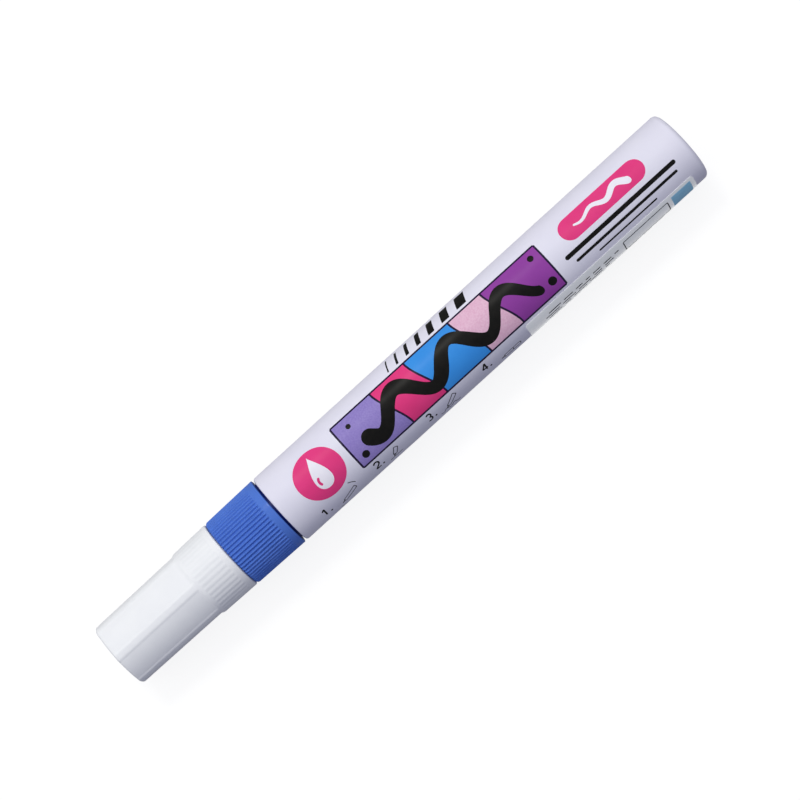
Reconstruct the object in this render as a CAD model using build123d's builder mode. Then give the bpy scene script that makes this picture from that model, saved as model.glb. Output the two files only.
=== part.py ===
from build123d import *
import os
from math import cos, dist, pi, radians, sin, sqrt

# A valve-action paint marker, lying on its side along X in millimetres: cap towards -X, closed rear end towards +X.
# The origin is below the middle of its length, on the surface that it lies on. Angles about the marker's axis are
# counted in degrees from the top, growing towards -Y.

# Barrel: a drawn can, closed at the rear, with its mouth rolled in over the holder's plug
barrel_diameter = 14.8
barrel_length = 98.9
barrel_wall = 0.5
barrel_end_wall = 0.9
barrel_end_rounding = 1.0
barrel_shoulder_rounding = 0.5
barrel_lip_length = 1.1
barrel_lip_depth = 1.3

# Collar: the coloured ring, as wide as the barrel at its rear, fluted up to a smooth rim
collar_gap = 0.4
collar_length = 11.55
collar_front_inset = 0.175
collar_front_rounding = 0.6
collar_rear_rounding = 0.15
collar_front_margin = 0.45
collar_rim_length = 1.3
collar_flute_count = 60
collar_flute_angle = 4.6
collar_flute_radius = 0.45
collar_flute_depth = 0.12

# Cap: six ribs with bowed panels sunk between them, then a fluted skirt that ends in a smooth lip. Its insets are
# measured from the barrel's surface.
cap_gap = 0.1
cap_length = 27.45
cap_mouth_inset = 0.21
cap_step_inset = 0.365
cap_end_inset = 0.525
cap_skirt_wall = 1.16
cap_wall = 1.3
cap_end_wall = 1.4
cap_end_rounding = 0.5
cap_mouth_rounding = 0.3
cap_fit = 0.08
cap_rib_count = 6
cap_rib_width = 1.45
cap_rib_angle = 0.8
cap_panel_length = 18.9
cap_panel_ramp = 0.8
cap_panel_depth = 0.35
cap_panel_bow_radius = 9.5
skirt_flutes_per_rib = 7
skirt_flute_radius = 0.6
skirt_flute_depth = 0.14
skirt_front_margin = 0.3
skirt_lip_length = 1.15

# Cap liner: the inner cap, a cup that closes round the holder's snout
liner_wall = 0.8
liner_end_wall = 0.9
liner_flange_thickness = 0.8
liner_rounding = 0.4
liner_fit = 0.1
liner_end_gap = 0.1
liner_cone_gap = 0.6

# Nib holder: snout, cone, neck and cap bead ahead of the collar, then the plug and the valve's housing
holder_fit = 0.05
bead_height = 0.45
bead_length = 1.2
bead_rounding = 0.4
neck_length = 1.2
neck_rounding = 0.5
cone_length = 3.0
snout_base_share = 0.545
snout_length = 8.6
snout_tip_wall = 0.5
snout_rounding_share = 0.6
groove_depth = 1.1
plug_length = 2.0
plug_fit = 0.1
plug_rounding = 0.3
housing_diameter = 10.0
housing_length = 4.8

# Barrel gasket: rubber ring between the rolled mouth and the plug
gasket_thickness = 1.0

# Nib: a fibre rod with a bullet tip, 4.4 mm thick in this size of marker
nib_share_of_snout = 0.734
nib_fit = 0.05
nib_reach = 5.4
nib_cone_length = 4.0
nib_tip_diameter = 2.2
nib_tip_rounding_share = 0.8
nib_rear_rounding = 0.3
nib_rear_room = 2.9

# Valve: rubber seat, rod with its head, and the slotted cage that holds them in the housing
valve_bore_diameter = 8.2
seat_thickness = 1.4
seat_hole_diameter = 3.2
rod_pin_diameter = 2.2
rod_head_diameter = 5.4
rod_head_length = 1.4
rod_head_rounding = 0.3
rod_guide_diameter = 1.8
rod_guide_fit = 0.1
rod_guide_reach = 1.1
cage_length = 11.6
cage_wall = 0.85
cage_end_wall = 1.0
cage_end_rounding = 0.4
cage_slot_count = 4
cage_slot_width = 2.0
cage_slot_margin = 0.6

# Valve spring: a coil of round wire between the rod's head and the cage's end
spring_wire = 0.4
spring_mean_diameter = 3.5
spring_turns = 8
spring_seat_gap = 0.05
quarters_in_turn = 4
gap_samples_per_turn = 48

# Mixing ball: loose in the paint, on the barrel's lower wall
ball_diameter = 6.0
ball_wall_gap = 0.1
ball_from_chamber_end = 38.3

# Side sticker: a thin film on the barrel's -Y side
sticker_thickness = 0.08
sticker_glue = 0.01
sticker_length = 40.6
sticker_from_end = 3.1
sticker_start_angle = 45.0
sticker_end_angle = 135.0

# How far a cutting shape passes the surface that it cuts
cut_overrun = 1.0
half_turn = 180.0

# Radii
barrel_radius = barrel_diameter / 2
bore_radius = barrel_radius - barrel_wall
mouth_radius = bore_radius - barrel_lip_depth
body_radius = mouth_radius - holder_fit
collar_front_radius = barrel_radius - collar_front_inset
collar_bore_radius = body_radius + holder_fit
cap_mouth_radius = barrel_radius - cap_mouth_inset
cap_step_radius = barrel_radius - cap_step_inset
cap_end_radius = barrel_radius - cap_end_inset
cap_socket_radius = cap_mouth_radius - cap_skirt_wall
cap_bore_radius = cap_end_radius - cap_panel_depth - cap_wall
bead_radius = cap_socket_radius - cap_fit
neck_radius = bead_radius - bead_height
snout_base_radius = neck_radius * snout_base_share
nib_radius = snout_base_radius * nib_share_of_snout
nib_bore_radius = nib_radius + nib_fit
snout_tip_radius = nib_bore_radius + snout_tip_wall
liner_bore_radius = snout_base_radius + liner_fit
liner_radius = liner_bore_radius + liner_wall
groove_radius = barrel_radius - groove_depth
plug_radius = bore_radius - plug_fit
valve_bore_radius = valve_bore_diameter / 2
cage_radius = valve_bore_radius - holder_fit
cage_bore_radius = cage_radius - cage_wall
rod_guide_radius = rod_guide_diameter / 2

# Places along X, from the middle of the marker's length
overall_length = cap_length + cap_gap + collar_length + collar_gap + barrel_length
rear_x = overall_length / 2
chamber_rear_x = rear_x - barrel_end_wall
barrel_front_x = rear_x - barrel_length
lip_rear_x = barrel_front_x + barrel_lip_length
collar_rear_x = barrel_front_x - collar_gap
collar_front_x = collar_rear_x - collar_length
cap_mouth_x = collar_front_x - cap_gap
cap_end_x = cap_mouth_x - cap_length
cap_step_x = cap_end_x + cap_panel_length
cap_ramp_x = cap_step_x + cap_panel_ramp
bead_front_x = collar_front_x - bead_length
neck_front_x = bead_front_x - neck_length
cone_front_x = neck_front_x - cone_length
snout_tip_x = cone_front_x - snout_length
liner_flange_rear_x = cone_front_x - liner_cone_gap
cap_socket_end_x = liner_flange_rear_x - liner_flange_thickness
cap_bore_end_x = cap_end_x + cap_end_wall
liner_end_x = cap_bore_end_x + liner_end_gap
liner_inner_end_x = liner_end_x + liner_end_wall
plug_front_x = lip_rear_x + gasket_thickness
plug_rear_x = plug_front_x + plug_length
housing_end_x = plug_rear_x + housing_length
nib_tip_x = snout_tip_x - nib_reach
nib_rear_x = plug_front_x - nib_rear_room
seat_rear_x = plug_front_x + seat_thickness
head_rear_x = seat_rear_x + rod_head_length
cage_end_x = seat_rear_x + cage_length
cage_inner_end_x = cage_end_x - cage_end_wall
ball_x = chamber_rear_x - ball_from_chamber_end
sticker_start_x = rear_x - sticker_from_end - sticker_length

# The marker's axis lies one barrel radius above the surface
axis_height = barrel_radius
marker_axis = Axis((0, 0, axis_height), (1, 0, 0))
outline_plane = Plane(origin=(0, 0, axis_height), x_dir=(1, 0, 0), z_dir=(0, -1, 0))


def across(x):
    """The plane square to the marker's axis at x, whose own X points up and whose Y points towards -Y."""
    return Plane(origin=(x, 0, axis_height), x_dir=(0, 0, 1), z_dir=(1, 0, 0))


def outline(*corners):
    """Half of a turned piece's section, to revolve: each corner is its x, its radius and its rounding."""
    with BuildSketch(outline_plane) as half_section:
        with BuildLine():
            points = [(x, radius) for x, radius, _ in corners]
            FilletPolyline(*points, radius=[rounding for *_, rounding in corners], close=True)
        make_face()
    return half_section.sketch


def ring_of(piece, count, start_angle):
    """Copies of a piece, drawn about Z with X up, spread evenly about the marker's axis."""
    with BuildPart(across(0)) as ring:
        with PolarLocations(0, count, start_angle):
            add(piece)
    return ring.part


def flute(start_x, start_radius, end_x, end_radius, flute_radius, depth):
    """One round groove to cut along a cone, drawn about Z with X up."""
    rise = flute_radius - depth
    start = Vector(start_radius + rise, 0, start_x)
    run = Vector(end_radius - start_radius, 0, end_x - start_x)
    with BuildPart() as groove:
        with BuildSketch(Plane(origin=start, z_dir=run)):
            Circle(flute_radius)
        extrude(amount=run.length)
    return groove.part


def panel_section(x, middle_radius):
    """Section of the space over one panel: a wedge between two ribs' sides, outside the bowed panel."""
    half_pitch = radians(half_turn / cap_rib_count)
    apex = cap_rib_width / 2 / sin(half_pitch)
    reach = barrel_diameter
    corner = (apex + reach * cos(half_pitch), reach * sin(half_pitch))
    with BuildSketch(Plane.XY.offset(x)) as section:
        with BuildLine():
            Polyline((apex, 0), corner, (corner[0], -corner[1]), close=True)
        make_face()
        with Locations((middle_radius - cap_panel_bow_radius, 0)):
            Circle(cap_panel_bow_radius, mode=Mode.SUBTRACT)
    return section.sketch


def coil_point(turns):
    """A point on the spring's centre line and the direction of the wire there, after some turns."""
    rise = (spring_end_x - spring_start_x) / spring_turns
    angle = 2 * pi * turns
    radius = spring_mean_diameter / 2
    point = Vector(spring_start_x + rise * turns, radius * sin(angle), axis_height + radius * cos(angle))
    heading = Vector(rise / (2 * pi), radius * cos(angle), -radius * sin(angle))
    return point, heading.normalized()


def biarc_middle(start, start_heading, end, end_heading):
    """Where two equal-handled arcs meet that leave start and reach end along their headings, and the heading there."""
    span = end - start
    square = 2 * (1 - start_heading.dot(end_heading))
    slope = 2 * span.dot(start_heading + end_heading)
    handle = (sqrt(slope * slope + 4 * square * span.dot(span)) - slope) / (2 * square)
    leaving = start + start_heading * handle
    arriving = end - end_heading * handle
    return (leaving + arriving) / 2, (arriving - leaving).normalized()


os.makedirs("parts", exist_ok=True)

# Barrel
with BuildPart() as barrel:
    revolve(
        outline(
            (rear_x, 0, 0),
            (rear_x, barrel_radius, barrel_end_rounding),
            (barrel_front_x, barrel_radius, barrel_shoulder_rounding),
            (barrel_front_x, mouth_radius, 0),
            (lip_rear_x, mouth_radius, 0),
            (lip_rear_x, bore_radius, 0),
            (chamber_rear_x, bore_radius, barrel_end_rounding - barrel_wall),
            (chamber_rear_x, 0, 0),
        ),
        axis=marker_axis,
    )
barrel.part.label = "barrel"
export_step(barrel.part, "parts/barrel.step")

# Collar: its flutes run from just behind the front edge to the rim
collar_slope = (barrel_radius - collar_front_radius) / collar_length
flute_start_x = collar_front_x + collar_front_margin
flute_end_x = collar_rear_x - collar_rim_length
collar_flute = flute(
    flute_start_x,
    collar_front_radius + collar_slope * collar_front_margin,
    flute_end_x,
    barrel_radius - collar_slope * collar_rim_length,
    collar_flute_radius,
    collar_flute_depth,
)
with BuildPart() as collar:
    revolve(
        outline(
            (collar_front_x, collar_bore_radius, 0),
            (collar_front_x, collar_front_radius, collar_front_rounding),
            (collar_rear_x, barrel_radius, collar_rear_rounding),
            (collar_rear_x, collar_bore_radius, 0),
        ),
        axis=marker_axis,
    )
    add(ring_of(collar_flute, collar_flute_count, collar_flute_angle), mode=Mode.SUBTRACT)
collar.part.label = "collar"
export_step(collar.part, "parts/collar.step")

# Nib holder
with BuildPart() as nib_holder:
    revolve(
        outline(
            (snout_tip_x, nib_bore_radius, 0),
            (snout_tip_x, snout_tip_radius, snout_tip_wall * snout_rounding_share),
            (cone_front_x, snout_base_radius, 0),
            (neck_front_x, neck_radius, neck_rounding),
            (bead_front_x, neck_radius, 0),
            (bead_front_x, bead_radius, bead_rounding),
            (collar_front_x, bead_radius, 0),
            (collar_front_x, body_radius, 0),
            (collar_rear_x, body_radius, 0),
            (collar_rear_x, groove_radius, 0),
            (barrel_front_x, groove_radius, 0),
            (barrel_front_x, body_radius, 0),
            (plug_front_x, body_radius, 0),
            (plug_front_x, plug_radius, plug_rounding),
            (plug_rear_x, plug_radius, plug_rounding),
            (plug_rear_x, housing_diameter / 2, 0),
            (housing_end_x, housing_diameter / 2, 0),
            (housing_end_x, valve_bore_radius, 0),
            (plug_front_x, valve_bore_radius, 0),
            (plug_front_x, nib_bore_radius, 0),
        ),
        axis=marker_axis,
    )
nib_holder.part.label = "nib_holder"
export_step(nib_holder.part, "parts/nib_holder.step")

# Barrel gasket
with BuildPart() as barrel_gasket:
    revolve(
        outline(
            (lip_rear_x, mouth_radius, 0),
            (lip_rear_x, plug_radius, 0),
            (plug_front_x, plug_radius, 0),
            (plug_front_x, mouth_radius, 0),
        ),
        axis=marker_axis,
    )
barrel_gasket.part.label = "barrel_gasket"
export_step(barrel_gasket.part, "parts/barrel_gasket.step")

# Nib: it stops short of the seat by the room that it needs to be pressed in
with BuildPart() as nib:
    revolve(
        outline(
            (nib_tip_x, 0, 0),
            (nib_tip_x, nib_tip_diameter / 2, nib_tip_diameter / 2 * nib_tip_rounding_share),
            (nib_tip_x + nib_cone_length, nib_radius, 0),
            (nib_rear_x, nib_radius, nib_rear_rounding),
            (nib_rear_x, 0, 0),
        ),
        axis=marker_axis,
    )
nib.part.label = "nib"
export_step(nib.part, "parts/nib.step")

# Valve seat
with BuildPart() as valve_seat:
    revolve(
        outline(
            (plug_front_x, seat_hole_diameter / 2, 0),
            (plug_front_x, cage_radius, 0),
            (seat_rear_x, cage_radius, 0),
            (seat_rear_x, seat_hole_diameter / 2, 0),
        ),
        axis=marker_axis,
    )
valve_seat.part.label = "valve_seat"
export_step(valve_seat.part, "parts/valve_seat.step")

# Valve rod: the pin meets the nib, the head closes the seat, and the guide runs through the cage's end
with BuildPart() as valve_rod:
    revolve(
        outline(
            (nib_rear_x, 0, 0),
            (nib_rear_x, rod_pin_diameter / 2, 0),
            (seat_rear_x, rod_pin_diameter / 2, 0),
            (seat_rear_x, rod_head_diameter / 2, rod_head_rounding),
            (head_rear_x, rod_head_diameter / 2, rod_head_rounding),
            (head_rear_x, rod_guide_radius, 0),
            (cage_end_x + rod_guide_reach, rod_guide_radius, 0),
            (cage_end_x + rod_guide_reach, 0, 0),
        ),
        axis=marker_axis,
    )
valve_rod.part.label = "valve_rod"
export_step(valve_rod.part, "parts/valve_rod.step")

# Valve cage: its slots let paint in behind the housing
slot_start_x = housing_end_x + cage_slot_margin
slot_length = cage_inner_end_x - cage_slot_margin - slot_start_x
with BuildPart() as valve_cage:
    revolve(
        outline(
            (seat_rear_x, cage_bore_radius, 0),
            (seat_rear_x, cage_radius, 0),
            (cage_end_x, cage_radius, cage_end_rounding),
            (cage_end_x, rod_guide_radius + rod_guide_fit, 0),
            (cage_inner_end_x, rod_guide_radius + rod_guide_fit, 0),
            (cage_inner_end_x, cage_bore_radius, 0),
        ),
        axis=marker_axis,
    )
    with BuildSketch(across(slot_start_x)):
        with PolarLocations((cage_radius + cage_bore_radius) / 2, cage_slot_count):
            Rectangle(cage_wall + 2 * cut_overrun, cage_slot_width)
    extrude(amount=slot_length, mode=Mode.SUBTRACT)
valve_cage.part.label = "valve_cage"
export_step(valve_cage.part, "parts/valve_cage.step")

# Valve spring: each quarter turn is a pair of arcs that leave and arrive along the helix
spring_start_x = head_rear_x + spring_seat_gap + spring_wire / 2
spring_end_x = cage_inner_end_x - spring_seat_gap - spring_wire / 2
with BuildPart() as valve_spring:
    with BuildLine() as coil:
        for quarter in range(spring_turns * quarters_in_turn):
            start, start_heading = coil_point(quarter / quarters_in_turn)
            end, end_heading = coil_point((quarter + 1) / quarters_in_turn)
            middle, middle_heading = biarc_middle(start, start_heading, end, end_heading)
            TangentArc(start, middle, tangent=start_heading)
            TangentArc(middle, end, tangent=middle_heading)
    with BuildSketch(Plane(origin=coil.line @ 0, z_dir=coil.line % 0)):
        Circle(spring_wire / 2)
    sweep(path=coil.line)
valve_spring.part.label = "valve_spring"
export_step(valve_spring.part, "parts/valve_spring.step")

sample_count = spring_turns * gap_samples_per_turn
coil_samples = [tuple(coil_point(i / gap_samples_per_turn)[0]) for i in range(sample_count)]
least_spacing = min(
    dist(coil_samples[i], coil_samples[j])
    for i in range(sample_count)
    for j in range(i + gap_samples_per_turn // 2, sample_count)
)
print("valve_spring least gap to itself", round(least_spacing - spring_wire, 3), "mm")

# Mixing ball
with BuildPart() as mixing_ball:
    with Locations((ball_x, 0, axis_height - bore_radius + ball_diameter / 2 + ball_wall_gap)):
        Sphere(ball_diameter / 2)
mixing_ball.part.label = "mixing_ball"
export_step(mixing_ball.part, "parts/mixing_ball.step")

# Side sticker
with BuildPart() as side_sticker:
    with BuildSketch(across(sticker_start_x)):
        with BuildLine():
            sweep_angle = sticker_end_angle - sticker_start_angle
            glued = CenterArc((0, 0), barrel_radius + sticker_glue, sticker_start_angle, sweep_angle)
            film_radius = barrel_radius + sticker_glue + sticker_thickness
            shown = CenterArc((0, 0), film_radius, sticker_start_angle, sweep_angle)
            Line(glued @ 0, shown @ 0)
            Line(glued @ 1, shown @ 1)
        make_face()
    extrude(amount=sticker_length)
side_sticker.part.label = "side_sticker"
export_step(side_sticker.part, "parts/side_sticker.step")

# Cap shell: a panel's floor rises to the skirt along a short ramp
panel_slope = (cap_step_radius - cap_end_radius) / cap_panel_length
with BuildPart() as panel_space:
    sections = [
        panel_section(cap_end_x - cut_overrun, cap_end_radius - cap_panel_depth - panel_slope * cut_overrun),
        panel_section(cap_step_x, cap_step_radius - cap_panel_depth),
        panel_section(cap_ramp_x, cap_mouth_radius),
    ]
    loft(sections, ruled=True)
skirt_slope = (cap_mouth_radius - cap_step_radius) / (cap_mouth_x - cap_step_x)
skirt_start_x = cap_ramp_x + skirt_front_margin
skirt_end_x = cap_mouth_x - skirt_lip_length
skirt_flute = flute(
    skirt_start_x,
    cap_step_radius + skirt_slope * (skirt_start_x - cap_step_x),
    skirt_end_x,
    cap_mouth_radius - skirt_slope * skirt_lip_length,
    skirt_flute_radius,
    skirt_flute_depth,
)
with BuildPart() as cap_shell:
    revolve(
        outline(
            (cap_end_x, 0, 0),
            (cap_end_x, cap_end_radius, cap_end_rounding),
            (cap_step_x, cap_step_radius, 0),
            (cap_mouth_x, cap_mouth_radius, cap_mouth_rounding),
            (cap_mouth_x, cap_socket_radius, 0),
            (cap_socket_end_x, cap_socket_radius, 0),
            (cap_socket_end_x, cap_bore_radius, 0),
            (cap_bore_end_x, cap_bore_radius, 0),
            (cap_bore_end_x, 0, 0),
        ),
        axis=marker_axis,
    )
    panel_angle = cap_rib_angle + half_turn / cap_rib_count
    add(ring_of(panel_space.part, cap_rib_count, panel_angle), mode=Mode.SUBTRACT)
    skirt_flute_count = cap_rib_count * skirt_flutes_per_rib
    add(ring_of(skirt_flute, skirt_flute_count, cap_rib_angle), mode=Mode.SUBTRACT)
cap_shell.part.label = "cap_shell"
export_step(cap_shell.part, "parts/cap_shell.step")

# Cap liner: its flange sits against the step inside the cap
with BuildPart() as cap_liner:
    revolve(
        outline(
            (liner_end_x, 0, 0),
            (liner_end_x, liner_radius, liner_rounding),
            (cap_socket_end_x, liner_radius, 0),
            (cap_socket_end_x, cap_socket_radius - cap_fit, 0),
            (liner_flange_rear_x, cap_socket_radius - cap_fit, 0),
            (liner_flange_rear_x, liner_bore_radius, 0),
            (liner_inner_end_x, liner_bore_radius, liner_rounding),
            (liner_inner_end_x, 0, 0),
        ),
        axis=marker_axis,
    )
cap_liner.part.label = "cap_liner"
export_step(cap_liner.part, "parts/cap_liner.step")
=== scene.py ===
"""Looks of a valve-action paint marker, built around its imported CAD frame.

Sizes are in millimetres, as on the part's drawing, and turn into metres when a mesh is made. The marker lies
along X with its cap towards -X. Angles about its axis are in degrees from the top, growing towards -Y. Flat
print is laid out as x along the marker and arc, the length round the barrel from its top line, also growing
towards -Y.
"""

import logging
import math
from dataclasses import dataclass, field
from enum import Enum
from typing import Any, Sequence

import bpy
import numpy as np
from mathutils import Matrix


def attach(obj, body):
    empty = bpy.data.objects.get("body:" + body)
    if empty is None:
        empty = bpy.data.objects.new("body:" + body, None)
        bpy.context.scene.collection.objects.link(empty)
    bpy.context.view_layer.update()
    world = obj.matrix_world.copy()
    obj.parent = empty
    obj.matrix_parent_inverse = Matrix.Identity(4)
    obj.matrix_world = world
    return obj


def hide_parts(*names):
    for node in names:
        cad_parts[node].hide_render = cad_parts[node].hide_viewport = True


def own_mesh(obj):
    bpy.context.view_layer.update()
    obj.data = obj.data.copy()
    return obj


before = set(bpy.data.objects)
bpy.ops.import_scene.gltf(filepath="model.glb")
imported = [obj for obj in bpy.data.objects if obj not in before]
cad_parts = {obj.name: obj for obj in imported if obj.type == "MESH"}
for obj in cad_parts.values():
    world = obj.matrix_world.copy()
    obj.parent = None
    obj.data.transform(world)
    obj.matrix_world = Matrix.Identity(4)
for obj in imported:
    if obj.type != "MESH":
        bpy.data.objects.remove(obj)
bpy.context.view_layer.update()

MM = 0.001
AXIS_HEIGHT = 7.4
COLLAR_FRONT = -41.65
COLLAR_REAR = -30.1
BARREL_FRONT = -29.7
# A little under the CAD barrel's 7.4, so that the print on it stays inside the CAD box
BARREL_RADIUS = 7.38
SHARP_ANGLE = math.radians(38)
# Greatest space between rows of print, and the fewest rows that a line has
PRINT_PITCH = 0.25
FEWEST_ROWS = 3
# Turn in radians that the round ends of print lose, so that their last rows keep some width
BLUNT_TURN = 0.12
# Mask value at which painted shade covers a surface even where its noise lies thinnest
COVERED = 1.5
WHITE = (1.0, 1.0, 1.0, 1.0)
LOG = logging.getLogger("paint_marker")

Colour = tuple[float, float, float, float]
Triple = tuple[float, float, float]
Corner = Triple
FlatPatch = tuple[np.ndarray, np.ndarray]
Values = np.ndarray | float
Socket = bpy.types.NodeSocket


class Body(str, Enum):
    """The CAD bodies that pieces ride on."""

    MARKER = "marker"
    CAP = "cap"
    NIB = "nib_and_valve"


def screen(red: float, green: float, blue: float) -> Colour:
    """Turn a colour as a screen shows it, from 0 to 255, into the linear values that a shader takes.

    The standard screen curve is undone: a short straight run near black, and a power of 2.4 above it.

    Args:
        red: Red part.
        green: Green part.
        blue: Blue part.

    Returns:
        Linear red, green and blue, and a full alpha.
    """
    shown = np.array([red, green, blue]) / 255
    linear = np.where(shown <= 0.04045, shown / 12.92, ((shown + 0.055) / 1.055) ** 2.4)
    return (*linear.tolist(), 1.0)


def ease(low: float, high: float, value: np.ndarray) -> np.ndarray:
    """Rise smoothly from 0 at low to 1 at high, as 3t^2 - 2t^3 of the share t of the way.

    Args:
        low: Where the rise starts.
        high: Where it ends.
        value: Where it is asked for.

    Returns:
        The rise at each value.
    """
    share = np.clip((value - low) / (high - low), 0, 1)
    return share * share * (3 - 2 * share)


@dataclass
class Shell:
    """A closed surface in the making."""

    points: np.ndarray
    faces: list[np.ndarray]
    # Where a second colour goes: painted shade in gaps and grooves, a pale edge on the sticker
    painted_shade_and_edge_mask: np.ndarray | None = None

    def volume(self) -> float:
        """Add up the tetrahedra that the faces' triangles make with the origin.

        Returns:
            The volume inside the faces, negative if they point inwards.
        """
        total = 0.0
        for block in self.faces:
            first = self.points[block[:, 0]]
            for k in range(1, block.shape[1] - 1):
                second, third = self.points[block[:, k]], self.points[block[:, k + 1]]
                total += float(np.einsum("ij,ij->", first, np.cross(second, third))) / 6
        return total

    def outward(self) -> "Shell":
        """Turn the faces so that they point out of the shell.

        Returns:
            The same shell.
        """
        if self.volume() < 0:
            self.faces = [block[:, ::-1] for block in self.faces]
        return self


def joined(shells: Sequence[Shell]) -> Shell:
    """Put several shells into one.

    Args:
        shells: The shells, each closed and pointing outwards.

    Returns:
        One shell with all their points and faces.
    """
    starts = np.cumsum([0] + [len(shell.points) for shell in shells])
    faces = [block + start for shell, start in zip(shells, starts) for block in shell.faces]
    return Shell(np.concatenate([shell.points for shell in shells]), faces)


def rounded_outline(corners: Sequence[Corner], ring: bool = False, steps: int = 7) -> np.ndarray:
    """Lay out half of a turned piece's section, with its corners rounded.

    At a corner of rounding q the line leaves its edge q / tan(h) before the corner, where h is half of the
    corner's angle, and follows the circle of radius q that touches both edges. The arc is swung between the
    two touching points about a centre q / sin(h) along the corner's bisector.

    Args:
        corners: The x, radius and rounding of each corner in turn.
        ring: Whether the outline closes on itself, as for a piece with a hole through it.
        steps: Points on each arc.

    Returns:
        The x and radius of each point, one row each.
    """
    places = np.array([corner[:2] for corner in corners], float)
    before, after = np.roll(places, 1, axis=0), np.roll(places, -1, axis=0)
    rows: list[np.ndarray] = []
    for k, (place, (*_, rounding)) in enumerate(zip(places, corners)):
        open_end = not ring and k in (0, len(corners) - 1)
        if rounding <= 0 or open_end:
            rows.append(place[None, :])
            continue
        back = (before[k] - place) / np.linalg.norm(before[k] - place)
        on = (after[k] - place) / np.linalg.norm(after[k] - place)
        half = math.acos(float(np.clip(back @ on, -1, 1))) / 2
        bisector = (back + on) / np.linalg.norm(back + on)
        centre = place + bisector * rounding / math.sin(half)
        start = place + back * rounding / math.tan(half) - centre
        end = place + on * rounding / math.tan(half) - centre
        swing = math.pi - 2 * half
        share = np.linspace(0, 1, steps)[:, None]
        arc = np.sin((1 - share) * swing) * start + np.sin(share * swing) * end
        rows.append(centre + arc / math.sin(swing))
    return np.concatenate(rows)


def with_stations(outline: np.ndarray, stations: np.ndarray, row: int) -> np.ndarray:
    """Add rows to one straight run of an outline.

    Args:
        outline: The x and radius of each row.
        stations: The x of each row to add, in the order of the run.
        row: Row at which the run starts. It ends at the next one.

    Returns:
        The outline with rows at the stations, each on the straight line between the run's ends.
    """
    (x0, r0), (x1, r1) = outline[row], outline[row + 1]
    added = np.column_stack([stations, r0 + (r1 - r0) * (stations - x0) / (x1 - x0)])
    return np.concatenate([outline[: row + 1], added, outline[row + 1 :]])


def nearest_row(outline: np.ndarray, x: float, radius: float) -> int:
    """Number of the outline's row that is nearest to a place."""
    return int(np.argmin(np.hypot(outline[:, 0] - x, outline[:, 1] - radius)))


def tube_faces(number: np.ndarray, ring: bool = False) -> list[np.ndarray]:
    """Join the points of a tube whose rows each close on themselves.

    Args:
        number: Numbers of the points, rows by columns.
        ring: Whether the last row joins the first. If not, two more points after the last close the ends.

    Returns:
        The quads between the rows and, where it isn't a ring, a fan of triangles for each end.
    """
    beside = np.roll(number, -1, axis=1)
    if ring:
        below, below_beside = np.roll(number, -1, axis=0), np.roll(beside, -1, axis=0)
        return [np.stack([number, beside, below_beside, below], axis=-1).reshape(-1, 4)]
    quads = np.stack([number[:-1], beside[:-1], beside[1:], number[1:]], axis=-1).reshape(-1, 4)
    first, last = np.full(number.shape[1], number.size), np.full(number.shape[1], number.size + 1)
    fan_first = np.stack([first, beside[0], number[0]], axis=-1)
    fan_last = np.stack([last, number[-1], beside[-1]], axis=-1)
    return [quads, fan_first, fan_last]


def column_angles(columns: int) -> np.ndarray:
    """Angle of each column of a turned piece in degrees, as one row."""
    return np.linspace(0, 360, columns, endpoint=False)[None, :]


def with_tips(painted_shade_and_edge_mask: np.ndarray) -> np.ndarray:
    """Mask of a turned piece's points for painted shade, with none at the two that close its ends."""
    return np.append(painted_shade_and_edge_mask.ravel(), [0.0, 0.0])


def turned(outline: np.ndarray, columns: int, sink: np.ndarray | None = None, ring: bool = False) -> Shell:
    """Turn half of a section about the marker's axis.

    Row i and column j give the point at x_i and at the angle a_j = 360 j / columns, r = r_i - sink_ij from
    the axis: y = -r sin a and z = axis height + r cos a. An outline that isn't a ring starts and ends on the
    axis, where its first and last rows shrink to single points.

    Args:
        outline: The x and radius of each row.
        columns: Points round the axis.
        sink: How far each point lies below the outline, rows by columns.
        ring: Whether the last row joins the first.

    Returns:
        The closed surface.
    """
    angle = np.radians(column_angles(columns))
    depth = np.zeros((len(outline), columns)) if sink is None else sink
    radius = outline[:, 1:] - depth
    x = np.broadcast_to(outline[:, :1], radius.shape)
    grid = np.stack([x, -radius * np.sin(angle), AXIS_HEIGHT + radius * np.cos(angle)], axis=-1)
    inner = grid if ring else grid[1:-1]
    number = np.arange(inner.shape[0] * columns).reshape(inner.shape[0], columns)
    points = inner.reshape(-1, 3)
    if not ring:
        points = np.concatenate([points, grid[0, :1], grid[-1, :1]])
    return Shell(points, tube_faces(number, ring)).outward()


def on_barrel(patch: FlatPatch, lift: float) -> np.ndarray:
    """Wrap flat print round the barrel.

    The arc length s becomes the angle s / R about the axis, at the distance R + lift from it.

    Args:
        patch: The x and arc of each point, on a grid.
        lift: Height above the barrel's surface.

    Returns:
        The points on the same grid.
    """
    x, arc = patch
    angle, radius = arc / BARREL_RADIUS, BARREL_RADIUS + lift
    return np.stack([x, -radius * np.sin(angle), AXIS_HEIGHT + radius * np.cos(angle)], axis=-1)


def film(patch: FlatPatch, low: float, high: float) -> Shell:
    """Make a thin closed film on the barrel: the patch at two heights, with a wall round its border.

    Args:
        patch: The x and arc of each point, on a grid.
        low: Height of its underside above the barrel.
        high: Height of its top.

    Returns:
        The closed film.
    """
    top, base = on_barrel(patch, high), on_barrel(patch, low)
    number = np.arange(top[..., 0].size).reshape(top.shape[:2])
    corners = [number[:-1, :-1], number[:-1, 1:], number[1:, 1:], number[1:, :-1]]
    quads = np.stack(corners, axis=-1).reshape(-1, 4)
    border = np.concatenate([number[0, :-1], number[:-1, -1], number[-1, :0:-1], number[:0:-1, 0]])
    following, count = np.roll(border, -1), number.size
    wall = np.stack([border, border + count, following + count, following], axis=-1)
    points = np.concatenate([top.reshape(-1, 3), base.reshape(-1, 3)])
    return Shell(points, [quads, quads[:, ::-1] + count, wall]).outward()


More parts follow.
